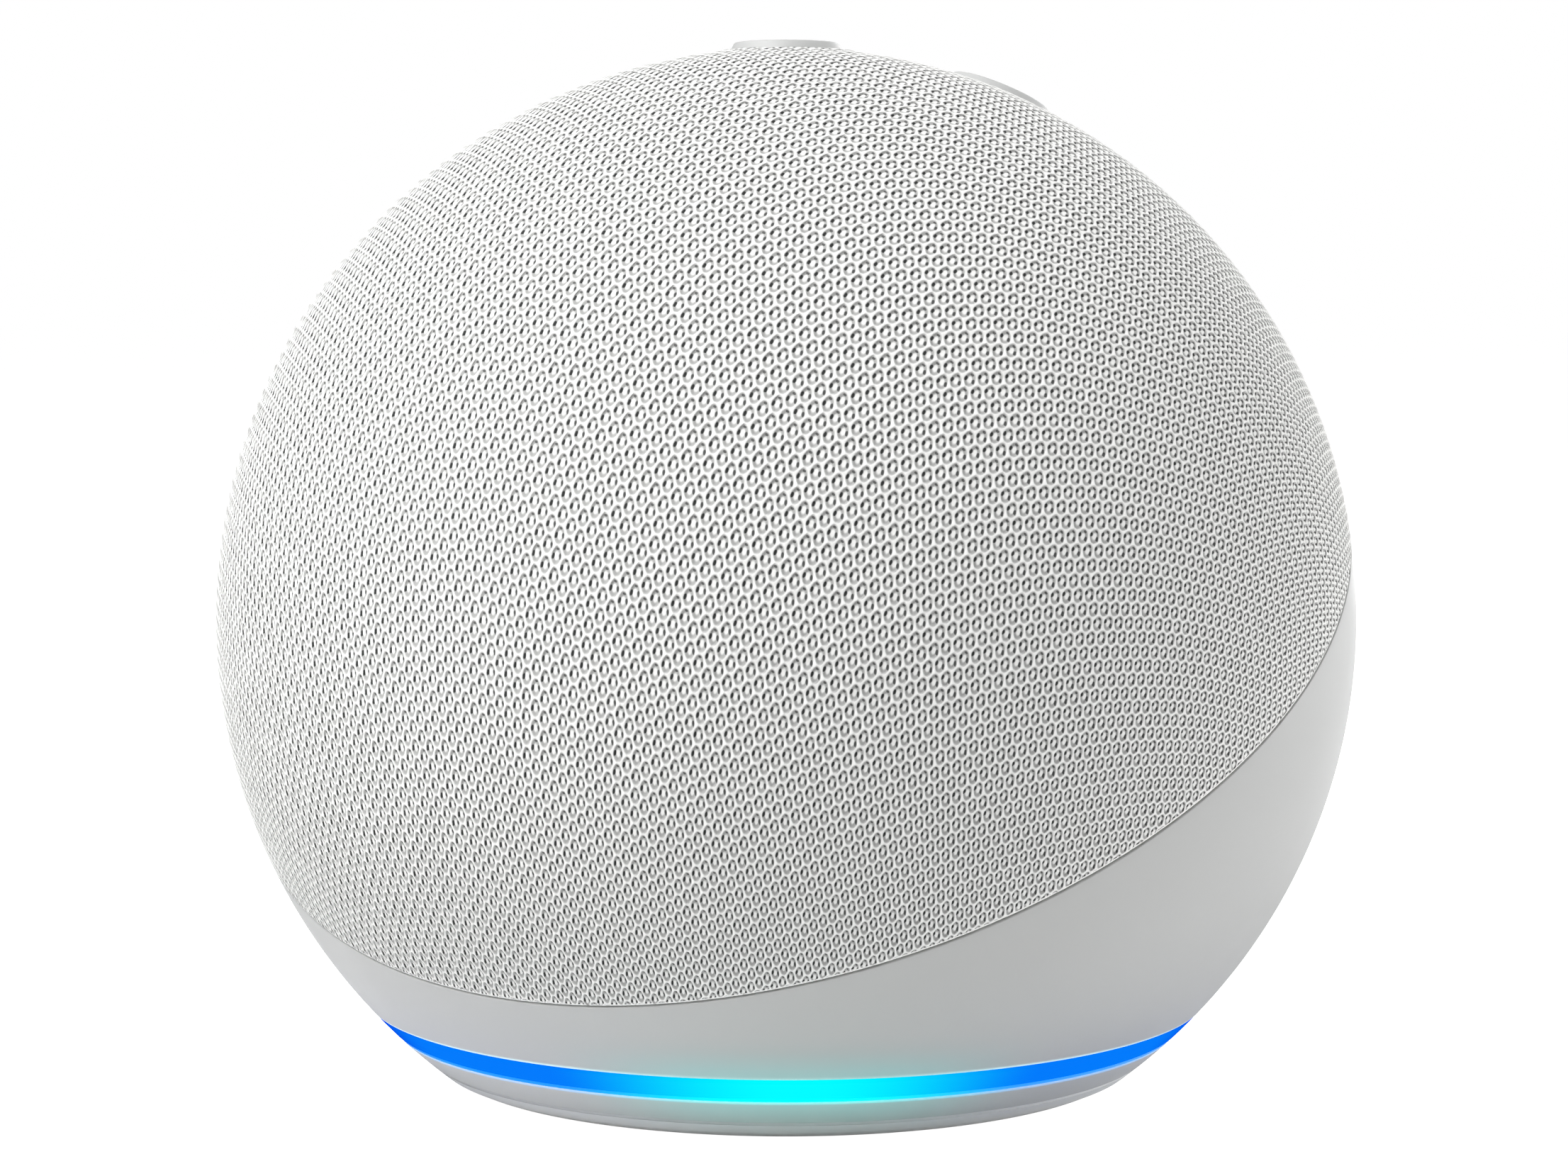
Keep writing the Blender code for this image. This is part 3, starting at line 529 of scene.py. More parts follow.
def plastic_with_painted_ring_light(name, colour, roughness, painted_edge_light_blue, painted_edge_light_cyan):
    """Housing plastic with the ring's light painted on: a painted highlight line along its edge by the ring,
    and next to the bright arc a painted glow and a cyan tint of its colour that reach further.
    """
    paint = moulded(name, colour, roughness)
    height = paint.node("SeparateXYZ", {0: paint.place()}).outputs["Z"]
    ring_low, ring_high = (corner.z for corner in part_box("light_ring"))
    half = (ring_high - ring_low) / 2
    off_ring = paint.math("ABSOLUTE", paint.math("SUBTRACT", height, ring_low + half))
    # Painted light from the ring: wide tints the colour toward cyan, near paints a glow as emission, and edge
    # paints a highlight line along the ring
    arc = paint.scaled(from_arc(paint), 1.0, 0.0, GLOW_START, CYAN_END)
    wide = paint.math("MULTIPLY", paint.scaled(off_ring, 1.0, 0.0, half, GLOW_TINT_REACH), arc)
    near = paint.math("MULTIPLY", paint.scaled(off_ring, 1.0, 0.0, half, GLOW_REACH), arc)
    edge = paint.scaled(off_ring, 1.0, 0.0, half + LIT_EDGE_START, half + LIT_EDGE_END)
    plain = paint.shader.inputs["Base Color"].links[0].from_socket
    cyan = tuple(c * share for c, share in zip(colour, GLOW_SHARES))
    paint.feed("Base Color", paint.blend(wide, plain, cyan))
    glow = paint.blend(near, (0.0, 0.0, 0.0), GLOW)
    painted_edge_line = paint.blend(arc, painted_edge_light_blue, painted_edge_light_cyan)
    paint.feed("Emission Color", paint.blend(edge, glow, painted_edge_line))
    paint.put("Emission Strength", 1.0)
    return paint


def knit_yarn():
    """Off-white yarn. In each cell a few dark places between the net and the loop inside it stand for the
    dark inside seen through the gaps, darkened further with painted shade, and a ring of painted shade lies
    along the pit.
    """
    paint = Paint("knit_yarn", (0.90, 0.90, 0.885), 0.85, Specular_IOR_Level=0.15)
    cell = paint.node("UVMap", uv_map="knit_cell").outputs[0]

    def off(middle, half, lean=0.0):
        """Distance from a middle, as a share of these half sizes."""
        turn = (0.0, 0.0, math.radians(lean))
        local = {"Vector": cell, "Location": (*middle, 0.0), "Rotation": turn, "Scale": (*half, 1.0)}
        near = paint.node("Mapping", local, vector_type="TEXTURE").outputs[0]
        return paint.node("VectorMath", {0: near}, operation="LENGTH").outputs["Value"]

    # Painted shade: a dimmer ring along the groove of the pit, where its wall lies in shade
    groove_middle, groove_half = (0.0, -0.02), (0.33, 0.54)
    off_groove = paint.math("SUBTRACT", off(groove_middle, groove_half), 1.0)
    dark = paint.scaled(paint.math("ABSOLUTE", off_groove), 0.55, 0.0, 0.12, 0.60)
    spots = (
        # middle and half sizes in millimetres, lean in degrees and darkness of each dark place, where the
        # dark inside shows through a gap and painted shade deepens it
        ((-0.32, -0.05), (0.155, 0.33), -6, 0.98),
        ((0.33, -0.04), (0.145, 0.33), 8, 0.94),
        ((0.03, 0.53), (0.20, 0.135), -12, 0.88),
    )
    for middle, half, lean, depth in spots:
        dark = paint.math("MAXIMUM", dark, paint.scaled(off(middle, half, lean), depth, 0.0, 0.55, 1.3))
    fibres = paint.noise(5200.0, 3.0)
    yarn = paint.blend(fibres, (0.84, 0.84, 0.825), (0.96, 0.96, 0.945))
    paint.feed("Base Color", paint.blend(dark, yarn, (0.02, 0.02, 0.02)))
    paint.feed("Roughness", paint.scaled(fibres, 0.78, 0.95))
    paint.bump(fibres, 0.03 * MM)
    return paint


# ---------------------------------------------------------------- knit cover


def hexagon(half_width, half_height, half_top):
    """Six corners, from the right one round over the top."""
    return np.array(
        [
            (half_width, 0.0),
            (half_top, half_height),
            (-half_top, half_height),
            (-half_width, 0.0),
            (-half_top, -half_height),
            (half_top, -half_height),
        ]
    )


def cap_reach(angle):
    """The distance over the knit at this angle from the cap's axis."""
    return BALL_R * (angle + SPREAD_3 * angle**3 + SPREAD_5 * angle**5)


def cap_angle(reach):
    """The angle from the cap's axis at this distance over the knit, which spreads a little outward."""
    angle = reach / BALL_R
    for _ in range(CAP_ANGLE_ROUNDS):
        angle = reach / BALL_R - SPREAD_3 * angle**3 - SPREAD_5 * angle**5
    return angle


def knit_directions(flat):
    """Unit vectors from the ball's centre for points on the flat knit."""
    reach = np.linalg.norm(flat, axis=1)
    angle = cap_angle(reach)
    along = flat / np.maximum(reach, 1e-9)[:, None]
    local = np.column_stack([along * np.sin(angle)[:, None], np.cos(angle)])
    return local @ np.array(CAP.to_3x3()).T


def knit_cells(reach):
    """Middles of the cells within this distance, and which of the two kinds each is."""
    middles, kinds = [], []
    columns = int(reach / COLUMN) + 1
    rows = int(reach / ROW) + 2
    for i in range(-columns, columns + 1):
        for j in range(-rows, rows + 1):
            middle = (i * COLUMN, (j + 0.5 * (i % 2) + ROW_START) * ROW)
            if math.hypot(*middle) < reach:
                middles.append(middle)
                kinds.append(i % 2)
    return np.array(middles), np.array(kinds)


def knit_net(reach):
    """Flat points, drops, triangles and each triangle's corners in its own cell's millimetres."""
    middles, kinds = knit_cells(reach)
    count = len(middles)
    slant = (COLUMN**2 - (ROW / 2) ** 2) / (2 * COLUMN)
    corners = hexagon(COLUMN - slant, ROW / 2, slant)
    rim = hexagon(0.50 * MM, 0.66 * MM, 0.17 * MM)
    pit = hexagon(0.33 * MM, 0.50 * MM, 0.13 * MM)
    loop = np.array([(0.05 * MM, 0.27 * MM), (-0.03 * MM, -0.30 * MM)])

    shared = (middles[:, None] + corners).reshape(-1, 2)
    grid = np.round(shared / CORNER_GRID).astype(int)
    _, first, corner_of = np.unique(grid, axis=0, return_index=True, return_inverse=True)
    corner_of = corner_of.reshape(count, 6)
    net = shared[first]

    size = 1 + random.uniform(-SIZE_SPREAD, SIZE_SPREAD, (count, 1, 1))
    shift = random.uniform(-SHIFT_SPREAD, SHIFT_SPREAD, (count, 1, 2)) * MM
    lean = np.array(LEANS)[kinds] + random.uniform(-LEAN_SPREAD, LEAN_SPREAD, count)
    turn = np.stack([np.cos(lean), -np.sin(lean), np.sin(lean), np.cos(lean)], axis=1).reshape(count, 2, 2)
    points, drops, rings = [net], [np.full(len(net), -YARN_RISE)], [corner_of]
    used = len(net)
    for outline, drop in ((rim, RIM_DROP), (pit, PIT_DROP), (loop, LOOP_DROP)):
        bent = np.einsum("nij,kj->nki", turn, outline) * size + shift
        points.append((middles[:, None] + bent).reshape(-1, 2))
        drops.append(np.full(count * len(outline), drop))
        rings.append(used + np.arange(count * len(outline)).reshape(count, -1))
        used += count * len(outline)

    triangles = []
    for outer, inner in zip(rings, rings[1:3]):
        for k in range(6):
            n = (k + 1) % 6
            triangles.append(np.stack([outer[:, k], outer[:, n], inner[:, n]], axis=1))
            triangles.append(np.stack([outer[:, k], inner[:, n], inner[:, k]], axis=1))
    pit_ring, tips = rings[2], rings[3]
    for ring_a, ring_b, tip in ((0, 1, 0), (1, 2, 0), (2, 3, 0), (3, 4, 1), (4, 5, 1), (5, 0, 1)):
        triangles.append(np.stack([pit_ring[:, ring_a], pit_ring[:, ring_b], tips[:, tip]], axis=1))
    triangles.append(np.stack([pit_ring[:, 3], tips[:, 1], tips[:, 0]], axis=1))
    triangles.append(np.stack([pit_ring[:, 0], tips[:, 0], tips[:, 1]], axis=1))
    triangles = np.stack(triangles, axis=1)

    flat = np.concatenate(points)
    local = (flat[triangles] - middles[:, None, None]) / MM
    return flat, np.concatenate(drops), triangles.reshape(-1, 3), local.reshape(-1, 3, 2)


def key_directions():
    """Unit vectors from the ball's centre through the middles of the buttons."""
    return [np.array((key_aim(angle).to_3x3() @ UP).normalized()) for angle in KEY_ANGLES.values()]


def key_aim(angle):
    """Frame of one button: origin at the ball's centre, +Z out through the middle of the button."""
    turn = Matrix.Rotation(math.radians(angle), 4, "Z")
    return KEYS @ turn @ Matrix.Rotation(KEY_LEAN, 4, "Y")


def off_axis(aims, axis):
    """The angle of each direction from an axis, and the unit vector that points straight away from it."""
    angle = np.arccos(np.clip(aims @ axis, -1, 1))
    away = aims - np.cos(angle)[:, None] * axis
    return angle, away / np.maximum(np.linalg.norm(away, axis=1), 1e-9)[:, None]


def outer_edges(triangles):
    """Edges of only one triangle, as that triangle runs along them."""
    edges = np.concatenate([triangles[:, [0, 1]], triangles[:, [1, 2]], triangles[:, [2, 0]]])
    key = np.sort(edges, axis=1)
    _, index, count = np.unique(key, axis=0, return_inverse=True, return_counts=True)
    return edges[count[index.reshape(-1)] == 1]


def make_knit_cover():
    """Cells over the whole cap, pulled up in a collar round each button and turned under at each edge."""
    edge_angle = math.acos(SEAM / BALL_R) - FOLD_R / BALL_R
    reach = cap_reach(edge_angle)
    flat, drops, triangles, local = knit_net(reach + ROW)
    aims = knit_directions(flat)
    heights = -drops
    held = np.zeros(len(flat), bool)
    inward = np.zeros((len(flat), 3))

    def hold(past, axis, away, at, side):
        """Moves the points past an edge onto it, and notes which way its fold runs."""
        aims[past] = math.cos(at) * axis + math.sin(at) * away[past]
        inward[past] = side * np.cross(np.cross(axis, away[past]), aims[past])
        held[past] = True

    cap_axis = np.array(CAP.to_3x3() @ UP)
    angle, away = off_axis(aims, cap_axis)
    hold(angle > edge_angle, cap_axis, away, edge_angle, 1)
    calm = np.clip((edge_angle - angle) * BALL_R / CALM_W, 0, 1)

    hole_angle = math.asin(KEY_HOLE_R / BALL_R) + FOLD_R / BALL_R
    collar = np.zeros(len(flat))
    for axis in key_directions():
        angle, away = off_axis(aims, axis)
        hold(angle < hole_angle, axis, away, hole_angle, -1)
        off = np.clip((angle - hole_angle) * BALL_R, 0, None)
        collar += COLLAR_H * np.exp(-((off / COLLAR_W) ** 2))
        calm = np.minimum(calm, np.clip(off / CALM_W, 0, 1))
    heights = heights * (CALM_RELIEF + (1 - CALM_RELIEF) * calm) + collar

    kept = ~held[triangles].all(axis=1)
    triangles, local = triangles[kept], local[kept]
    aims /= np.linalg.norm(aims, axis=1)[:, None]

    # Each edge is carried round a small fold and then straight in, with rings of new points
    edges = outer_edges(triangles)
    ends = np.unique(edges)
    number = np.zeros(len(aims), int)
    number[ends] = np.arange(len(ends))
    fold = [(FOLD_R * math.sin(a), FOLD_R * (1 - math.cos(a))) for a in np.radians(FOLD_ANGLES)]
    fold.append((FOLD_R, FOLD_DEPTH))
    upper = edges
    used = len(aims)
    for over, down in fold:
        turned = aims[ends] + inward[ends] * over / BALL_R
        aims_new = turned / np.linalg.norm(turned, axis=1)[:, None]
        aims = np.concatenate([aims, aims_new])
        heights = np.concatenate([heights, heights[ends] - down])
        flat = np.concatenate([flat, flat[ends]])
        lower = used + number[edges]
        quads = np.column_stack([upper[:, 1], upper[:, 0], lower[:, 0], lower[:, 1]])
        triangles = np.concatenate([triangles, quads[:, [0, 1, 2]], quads[:, [0, 2, 3]]])
        upper = lower
        used += len(ends)
    plain = np.full((len(triangles) - len(local), 3, 2), OFF_CELL)
    local = np.concatenate([local, plain])

    points = aims * (BALL_R + heights)[:, None] + np.array(BALL.translation)
    mesh = mesh_of("knit_cover", points, triangles)
    layout = flat[triangles] / (LAYOUT_SPAN * reach) + 0.5
    for name, corners in (("OFBake", layout), ("knit_cell", local)):
        layer = mesh.uv_layers.new(name=name)
        layer.data.foreach_set("uv", corners.astype(np.float32).ravel())
    mesh.shade_smooth()
    add_object("knit_cover", mesh, knit_yarn().material, "speaker_body", "knit_fabric", "fabric_cover")


# ---------------------------------------------------------------- housing, ring, base and foot


def rim_angle(radius, azimuth):
    """The angle from straight up at which a ball of this radius meets the plane of the housing's rim."""
    side = -math.sin(CAP_LEAN) * math.sin(azimuth)
    rise = math.cos(CAP_LEAN)
    return math.atan2(side, rise) + math.acos(HOUSING_RIM / (radius * math.hypot(side, rise)))


def housing_section(azimuth, low, steps):
    """(radius from the ball's centre, angle from straight up) round one section of the shell's wall."""
    inner = BALL_R - HOUSING_T
    section = []
    turns = [math.pi / 2 * i / 4 for i in range(5)]
    for turn in turns:
        radius = BALL_R - RIM_EDGE * (1 - math.sin(turn))
        angle = rim_angle(radius, azimuth) + RIM_EDGE * (1 - math.cos(turn)) / BALL_R
        section.append((radius, angle))
    top = section.pop()[1]
    bottom = math.acos((low - BALL_Z) / BALL_R) - LOW_EDGE / BALL_R
    for i in range(steps + 1):
        section.append((BALL_R, top + (bottom - top) * i / steps))
    for turn in turns[1:]:
        radius = BALL_R - LOW_EDGE * (1 - math.cos(turn))
        angle = math.acos((low - BALL_Z) / radius) - LOW_EDGE * (1 - math.sin(turn)) / BALL_R
        section.append((radius, angle))
    for radius, height in ((FLANGE_HOLE_R, low), (FLANGE_HOLE_R, FLANGE_TOP)):
        off = Vector((radius, height - BALL_Z))
        section.append((off.length, math.pi / 2 - math.atan2(off.y, off.x)))
    floor = math.acos((FLANGE_TOP - BALL_Z) / inner)
    top = rim_angle(inner, azimuth)
    for i in range(steps + 1):
        section.append((inner, floor + (top - floor) * i / steps))
    return section


def housing_shell(low, steps=48):
    """The housing without its port, between the leaning rim and the flange at the bottom."""
    points = []
    for i in range(TURNS):
        azimuth = 2 * math.pi * i / TURNS
        section = housing_section(azimuth, low, steps)
        for radius, angle in section:
            across = radius * math.sin(angle)
            height = BALL_Z + radius * math.cos(angle)
            points.append((across * math.cos(azimuth), across * math.sin(azimuth), height))
    count = len(section)
    faces = []
    for i in range(TURNS):
        here, there = i * count, (i + 1) % TURNS * count
        for k in range(count):
            n = (k + 1) % count
            faces.append((here + k, here + n, there + n, there + k))
    return mesh_of("housing_shell", points, faces)


def port_circle(radius, depth=None, steps=64):
    """Points round the port, this far below the ball's surface or, with no depth, at the port's floor."""
    points = []
    for i in range(steps):
        turn = -2 * math.pi * (i + 0.5) / steps
        x, z = radius * math.cos(turn), PORT_Z + radius * math.sin(turn)
        y = PORT_FLOOR_Y if depth is None else math.sqrt(BALL_R**2 - x**2 - (z - BALL_Z) ** 2) - depth
        points.append((x, y, z))
    return points


def stacked(name, rings, capped):
    """A solid through rings of points. It is capped at both ends, or its last ring runs back to its first."""
    steps = len(rings[0])
    faces = []
    for k in range(len(rings) - 1 if capped else len(rings)):
        upper, lower = k * steps, (k + 1) % len(rings) * steps
        for i in range(steps):
            j = (i + 1) % steps
            faces.append((upper + i, lower + i, lower + j, upper + j))
    if capped:
        last = (len(rings) - 1) * steps
        faces += [tuple(range(steps)), tuple(reversed(range(last, last + steps)))]
    return mesh_of(name, [point for ring in rings for point in ring], faces)


def port_cutter():
    """A plug through the wall. Its mouth flares, which leaves a small fillet all along the ball's surface."""
    rings = [port_circle(PORT_R + PORT_FILLET, -PORT_MOUTH)]
    for i in range(5):
        turn = math.pi / 2 * i / 4
        radius = PORT_R + PORT_FILLET * (1 - math.sin(turn))
        rings.append(port_circle(radius, PORT_FILLET * (1 - math.cos(turn))))
    rings.append(port_circle(PORT_R, 4 * HOUSING_T))
    return stacked("port_cutter", rings, True)


def make_housing():
    """The housing, with a round wall behind the port that starts within the thickness of the shell."""
    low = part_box("lower_housing")[0].z
    shell = cut(housing_shell(low), port_cutter())
    rings = [
        port_circle(PORT_BORE_R, PORT_WALL_START),
        port_circle(PORT_WALL_R, PORT_WALL_START),
        port_circle(PORT_WALL_R),
        port_circle(PORT_BORE_R),
    ]
    mesh = smooth(joined("housing", [shell, stacked("port_wall", rings, False)]))
    # Colours of the painted highlight line from the ring along the housing's edge, away from the bright arc
    # and next to it
    painted_edge_light_blue, painted_edge_light_cyan = (0.28, 0.50, 0.54), (0.12, 0.24, 0.23)
    paint = plastic_with_painted_ring_light("housing_plastic", (0.50, 0.505, 0.50), 0.38, painted_edge_light_blue, painted_edge_light_cyan)
    add_object("housing", mesh, paint.material, "speaker_body", "white_plastic", "lower_housing")


def make_ring():
    """The light ring, as a plain turned diffuser that carries on the ball's curve."""
    low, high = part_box("light_ring")
    profile = [(RING_HOLE_R, high.z)] + ball_band(high.z, low.z, 8) + [(RING_HOLE_R, low.z)]
    mesh = smooth(turned_mesh("glow_ring", rounded(profile, RING_EDGE, 3), TABLE, TURNS))
    add_object("glow_ring", mesh, light_diffuser().material, "speaker_body", "light_diffuser", "light_ring")


def make_base():
    """The base under the ring, a closed pan that carries on the ball's curve."""
    low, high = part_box("base_cover")
    profile = [(0.0, high.z)] + ball_band(high.z, low.z, 6) + [(0.0, low.z)]
    mesh = smooth(turned_mesh("base_pan", rounded(profile, BASE_EDGE), TABLE, TURNS))
    # Colours of the painted highlight line from the ring along the base's edge, away from the bright arc and
    # next to it
    painted_edge_light_blue, painted_edge_light_cyan = (0.02, 0.22, 0.55), (0.0, 0.5, 0.5)
    paint = plastic_with_painted_ring_light("base_plastic", (0.565, 0.565, 0.54), 0.42, painted_edge_light_blue, painted_edge_light_cyan)
    add_object("base_pan", mesh, paint.material, "speaker_body", "white_plastic", "base_cover")


def make_foot():
    """The foot. Its top is raised between its edges, which closes most of the gap under the base."""
    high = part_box("rubber_foot")[1].z
    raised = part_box("base_cover")[0].z - BASE_EDGE
    edge_r = ball_r_at(high)
    profile = [
        (edge_r - BASE_EDGE, raised),
        (edge_r - BASE_EDGE, high),
        (edge_r, high),
        (ball_r_at(FOOT_SIDE), FOOT_SIDE),
        (FOOT_FACE_R + 0.8 * MM, FOOT_TOE),
        (FOOT_FACE_R, 0.0),
        (FOOT_HOLE_R, 0.0),
        (FOOT_HOLE_R, high),
        (FOOT_HOLE_R + MM, high),
        (FOOT_HOLE_R + MM, raised),
    ]
    mesh = smooth(turned_mesh("foot_pad", rounded(profile, BASE_EDGE), TABLE, TURNS))
    paint = rubber("foot_rubber", (0.77, 0.775, 0.765))
    add_object("foot_pad", mesh, paint.material, "speaker_body", "foot_rubber", "rubber_foot")


# ---------------------------------------------------------------- buttons


def bar(length, width, middle=(0.0, 0.0), lean=0.0, steps=10):
    """The outline of a bar with round ends."""
    half = (length - width) / 2
    outline = []
    for end in (1, -1):
        for i in range(steps + 1):
            turn = math.pi * i / steps - math.pi / 2
            along = end * (half + width / 2 * math.cos(turn))
            outline.append(Vector((along, end * width / 2 * math.sin(turn))))
    return [Matrix.Rotation(math.radians(lean), 2) @ p + Vector(middle) for p in outline]


def arch(radius, width, start, end, steps=20):
    """The outline of a bent bar round the origin, by angle in degrees."""
    outline = []
    for reach, order in ((radius + width / 2, range(steps + 1)), (radius - width / 2, range(steps, -1, -1))):
        for i in order:
            turn = math.radians(start + (end - start) * i / steps)
            outline.append(Vector((reach * math.cos(turn), reach * math.sin(turn))))
    return outline


def symbol_outlines(name):
    """A plus, a minus, a dot or a crossed microphone."""
    stroke = bar(SYMBOL_SPAN, SYMBOL_LINE)
    if name == "volume_up":
        return [stroke, bar(SYMBOL_SPAN, SYMBOL_LINE, lean=90)]
    if name == "volume_down":
        return [stroke]
    if name == "action":
        return [bar(1.5 * MM, 1.4999 * MM)]
    capsule = bar(1.5 * MM, 0.8 * MM, (0.0, 0.35 * MM), 90)
    cradle = arch(0.8 * MM, 0.2 * MM, 180, 360)
    stand = bar(0.7 * MM, 0.2 * MM, (0.0, -1.1 * MM), 90)
    slash = bar(3.2 * MM, 0.24 * MM, (0.0, 0.0), -45)
    return [capsule, cradle, stand, slash]


def symbol_mesh(name, place):
    """Thin raised strokes on a button's top."""
    points, faces = [], []
    for outline in symbol_outlines(name):
        first, count = len(points), len(outline)
        for height in (SYMBOL_LOW, SYMBOL_HIGH):
            points += [place @ Vector((p.x, p.y, height)) for p in outline]
        for i in range(count):
            j = (i + 1) % count
            faces.append((first + i, first + j, first + count + j, first + count + i))
        faces.append([first + count + i for i in range(count)])
        faces.append([first + i for i in reversed(range(count))])
    return mesh_of(f"{name}_symbol", points, faces)


def make_buttons():
    """Four caps with a hidden lip under the knit, each with a post down to its switch and a symbol on top."""
    plastic = moulded("button_plastic", (0.51, 0.515, 0.51), 0.5).material
    ink = moulded("symbol_ink", (0.30, 0.31, 0.32), 0.5).material
    profile = [
        (0.0, KEY_TOP),
        (KEY_TOP_R, KEY_TOP),
        (KEY_R, KEY_SHOULDER),
        (KEY_R, KEY_LIP_TOP),
        (KEY_LIP_R, KEY_LIP_TOP),
        (KEY_LIP_R, KEY_LOW),
        (KEY_WELL_R, KEY_LOW),
        (KEY_WELL_R, KEY_WELL_TOP),
        (0.0, KEY_WELL_TOP),
    ]
    stem = [(0.0, STEM_TOP), (STEM_R, STEM_TOP), (STEM_R, STEM_LOW), (0.0, STEM_LOW)]
    for name, angle in KEY_ANGLES.items():
        cap = turned_mesh(f"{name}_cap", rounded(profile, KEY_EDGE), key_aim(angle), KEY_STEPS)
        off = Matrix.Rotation(math.radians(angle), 4, "Z") @ Vector((STEM_OFF_AXIS, 0.0, 0.0))
        stand = KEYS @ Matrix.Translation(off)
        post = turned_mesh(f"{name}_post", rounded(stem, STEM_EDGE), stand, STEM_STEPS)
        mesh = smooth(joined(f"{name}_cap", [cap, post]))
        add_object(f"{name}_cap", mesh, plastic, f"{name}_key", "button_plastic", f"{name}_button")
        upright = key_aim(angle) @ Matrix.Rotation(math.radians(-angle), 4, "Z")
        symbol = symbol_mesh(name, upright)
        add_object(f"{name}_symbol", symbol, ink, f"{name}_key", "button_plastic")


# ---------------------------------------------------------------- finishes of the parts inside


def part_paints():
    """The finish of each slot that only parts inside use."""
    return {
        "grey_plastic": moulded("grey_plastic", (0.30, 0.31, 0.32), 0.5),
        "black_plastic": moulded("black_plastic", (0.03, 0.03, 0.032), 0.45),
        "seal_rubber": rubber("seal_rubber", (0.05, 0.05, 0.05)),
        "circuit_board": circuit_board(),
        "steel": metal("steel", (0.62, 0.62, 0.64), 0.3),
        "aluminium": metal("aluminium", (0.75, 0.75, 0.77), 0.38, "Y"),
        "ferrite": ferrite(),
        "cone_paper": cone_paper(),
        "copper": copper_winding(),
        "ribbon_film": ribbon_film(),
        "red_insulation": moulded("red_insulation", (0.60, 0.03, 0.02), 0.45, 900.0),
        "black_insulation": moulded("black_insulation", (0.025, 0.025, 0.025), 0.45, 900.0),
    }


def dress_parts(paints):
    """Gives each CAD node that still shows the finish of its slot in the record."""
    slots = {row["node"]: row["material_slot"] for row in frame["record"]["subparts"]}
    for name, node in frame["nodes"].items():
        paint = paints.get(slots[name])
        if paint is not None:
            node.data.materials.clear()
            node.data.materials.append(paint.material)


def sprung_ring(name, section, slot, paints):
    """A turned ring in sectors."""
    half = math.pi / SECTORS
    for k in range(SECTORS):
        middle = 2 * half * k
        rings = []
        for i in range(SECTOR_STEPS + 1):
            turn = middle + half * (1 - 2 * i / SECTOR_STEPS)
            rings.append([DRIVER @ Vector((r * math.cos(turn), r * math.sin(turn), h)) for r, h in section])
        mesh = smooth(stacked(f"{name}_{k + 1}", rings, True))
        mesh.materials.append(paints[slot].material)
        piece = bpy.data.objects.new(f"{name}_{k + 1}", mesh)
        bpy.context.scene.collection.objects.link(piece)
        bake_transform(piece)
        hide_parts(name)


def make_suspension(paints):
    """The half-roll surround and the wavy spider."""
    thick = SUSPENSION_T
    face = DRIVER_FACE + GAP
    middle, half = (ROLL_IN_R + ROLL_OUT_R) / 2, (ROLL_OUT_R - ROLL_IN_R) / 2
    turns = [math.pi * i / ROLL_STEPS for i in range(ROLL_STEPS + 1)]
    roll = [(middle - half * math.cos(a), face + ROLL_H * math.sin(a)) for a in turns]
    over = [(r, h + thick) for r, h in roll]
    rim = [(ROLL_RIM_R, face + thick), (ROLL_RIM_R, face)]
    section = over + rim + roll[::-1]
    sprung_ring("surround", section, "seal_rubber", paints)
    waves = []
    for i in range(SPIDER_STEPS + 1):
        along = i / SPIDER_STEPS
        lift = (1 - math.cos(2 * math.pi * SPIDER_WAVES * along)) / 2
        waves.append((SPIDER_IN_R + (SPIDER_OUT_R - SPIDER_IN_R) * along, SPIDER_Z + SPIDER_WAVE_H * lift))
    over = [(r, h + thick) for r, h in waves]
    sprung_ring("spider", over + waves[::-1], "cone_paper", paints)


# ---------------------------------------------------------------- stage


def outward(azimuth, elevation):
    """Unit vector from the ball, by degrees to the right of its front and degrees up."""
    turn, lift = math.radians(azimuth), math.radians(elevation)
    return Vector((math.sin(turn) * math.cos(lift), -math.cos(turn) * math.cos(lift), math.sin(lift)))


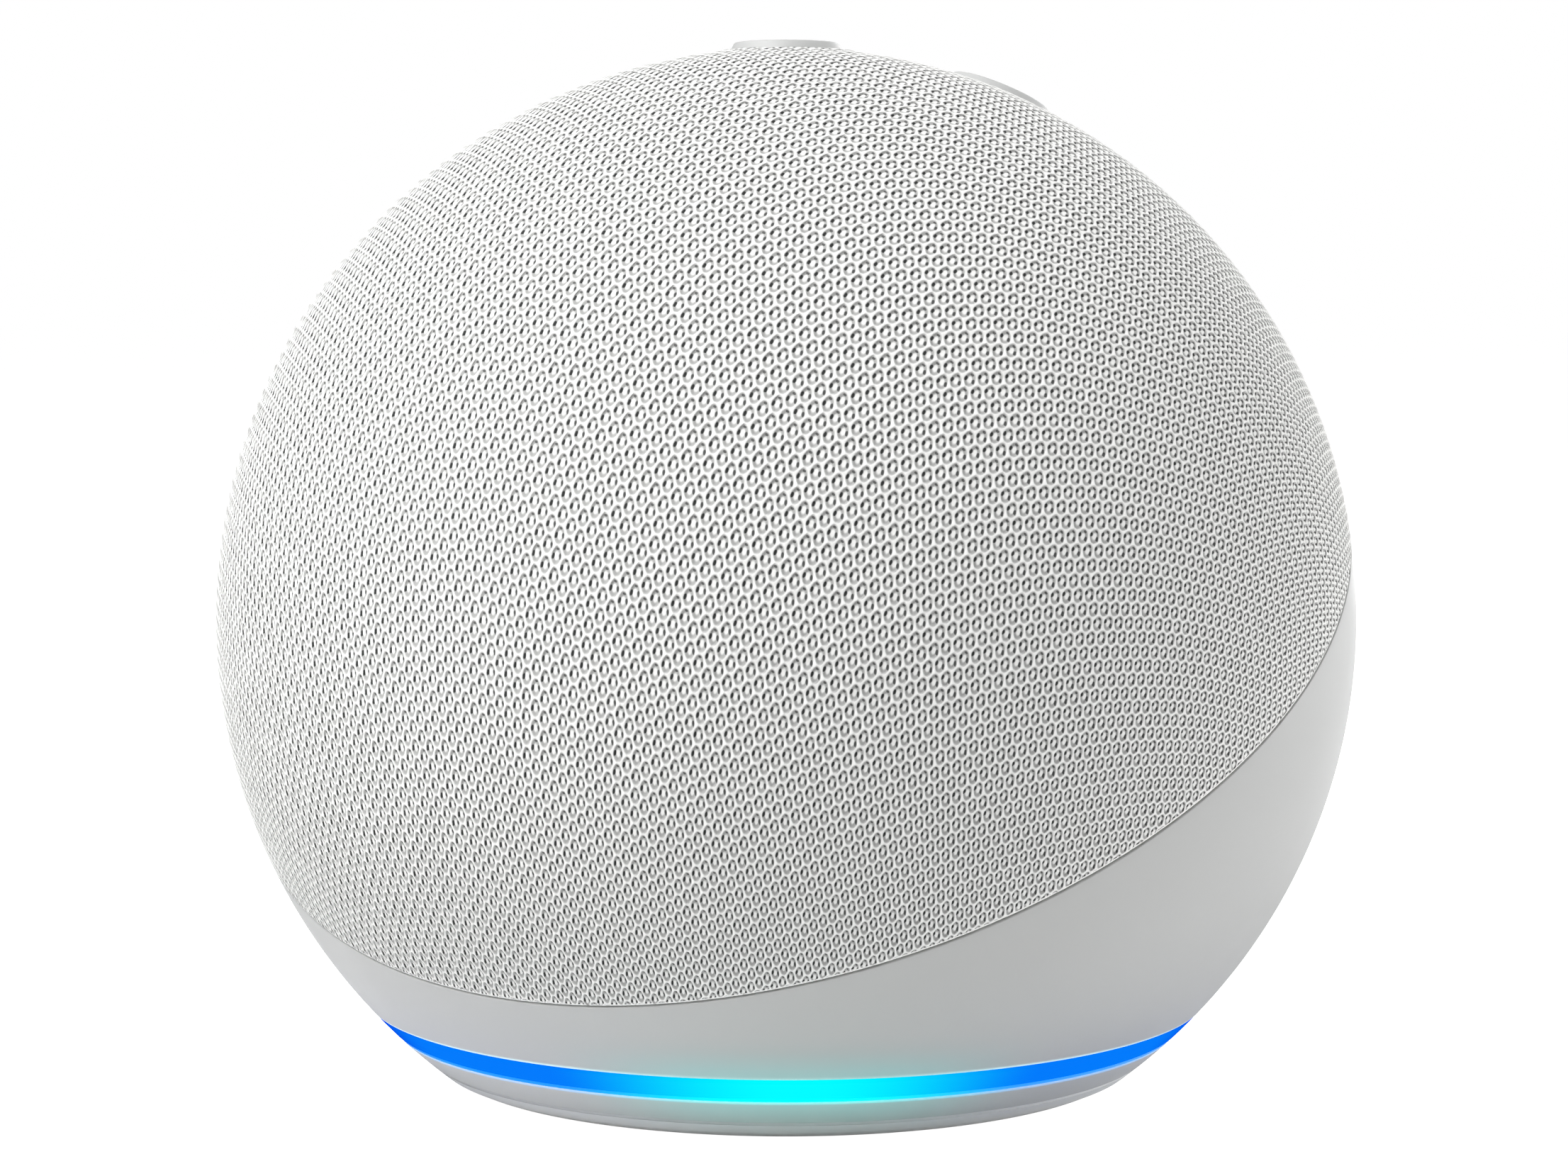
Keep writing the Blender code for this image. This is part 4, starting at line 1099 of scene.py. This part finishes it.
def add_camera():
    """Level with the upper half of the ball, and to its front right."""
    out = outward(CAMERA_AZIMUTH, CAMERA_ELEVATION)
    data = bpy.data.cameras.new("camera")
    data.sensor_width = 36.0
    data.lens = CAMERA_LENS
    data.shift_x, data.shift_y = CAMERA_SHIFT
    data.clip_start = 0.01
    data.clip_end = 50.0
    camera = bpy.data.objects.new("camera", data)
    camera.location = BALL.translation + out * CAMERA_DISTANCE
    camera.rotation_euler = out.to_track_quat("Z", "Y").to_euler()
    bpy.context.scene.collection.objects.link(camera)
    bpy.context.scene.camera = camera


def add_softbox(name, azimuth, elevation, power):
    """A round soft light that faces the ball."""
    out = outward(azimuth, elevation)
    data = bpy.data.lights.new(name, "AREA")
    data.shape = "DISK"
    data.size = LIGHT_SIZE
    data.energy = power
    light = bpy.data.objects.new(name, data)
    light.location = BALL.translation + out * LIGHT_DISTANCE
    light.rotation_euler = out.to_track_quat("Z", "Y").to_euler()
    bpy.context.scene.collection.objects.link(light)


def add_world():
    """A white studio all round, brighter to the camera than the light that it gives."""
    world = bpy.data.worlds.new("studio")
    world.use_nodes = True
    nodes, links = world.node_tree.nodes, world.node_tree.links
    rays = nodes.new("ShaderNodeLightPath")
    strength = nodes.new("ShaderNodeMapRange")
    strength.inputs["To Min"].default_value = WORLD_CAST
    background = nodes["Background"]
    background.inputs["Color"].default_value = (1.0, 1.0, 1.0, 1.0)
    links.new(rays.outputs["Is Camera Ray"], strength.inputs["Value"])
    links.new(strength.outputs[0], background.inputs["Strength"])
    bpy.context.scene.world = world


def add_floor():
    """A white table top that glows softly, and more to the camera, so that hardly a shadow shows on it."""
    paint = Paint("floor", (0.8, 0.8, 0.8), 0.9, Emission_Color=(1.0, 1.0, 1.0, 1.0), Specular_IOR_Level=0.0)
    rays = paint.node("LightPath").outputs["Is Camera Ray"]
    paint.feed("Emission Strength", paint.scaled(rays, FLOOR_CAST, 1.0))
    profile = [(0.0, 0.0), (FLOOR_R, 0.0), (FLOOR_R, -FLOOR_T), (0.0, -FLOOR_T)]
    mesh = turned_mesh("floor", profile, TABLE, 64)
    mesh.materials.append(paint.material)
    floor = bpy.data.objects.new("floor", mesh)
    bpy.context.scene.collection.objects.link(floor)


# ---------------------------------------------------------------- the whole

add_camera()
add_world()
add_floor()
for softbox in SOFTBOXES:
    add_softbox(*softbox)
bpy.context.scene.view_settings.view_transform = "Standard"

make_knit_cover()
make_housing()
make_ring()
make_base()
make_foot()
make_buttons()
inner_paints = part_paints()
make_suspension(inner_paints)
dress_parts(inner_paints)
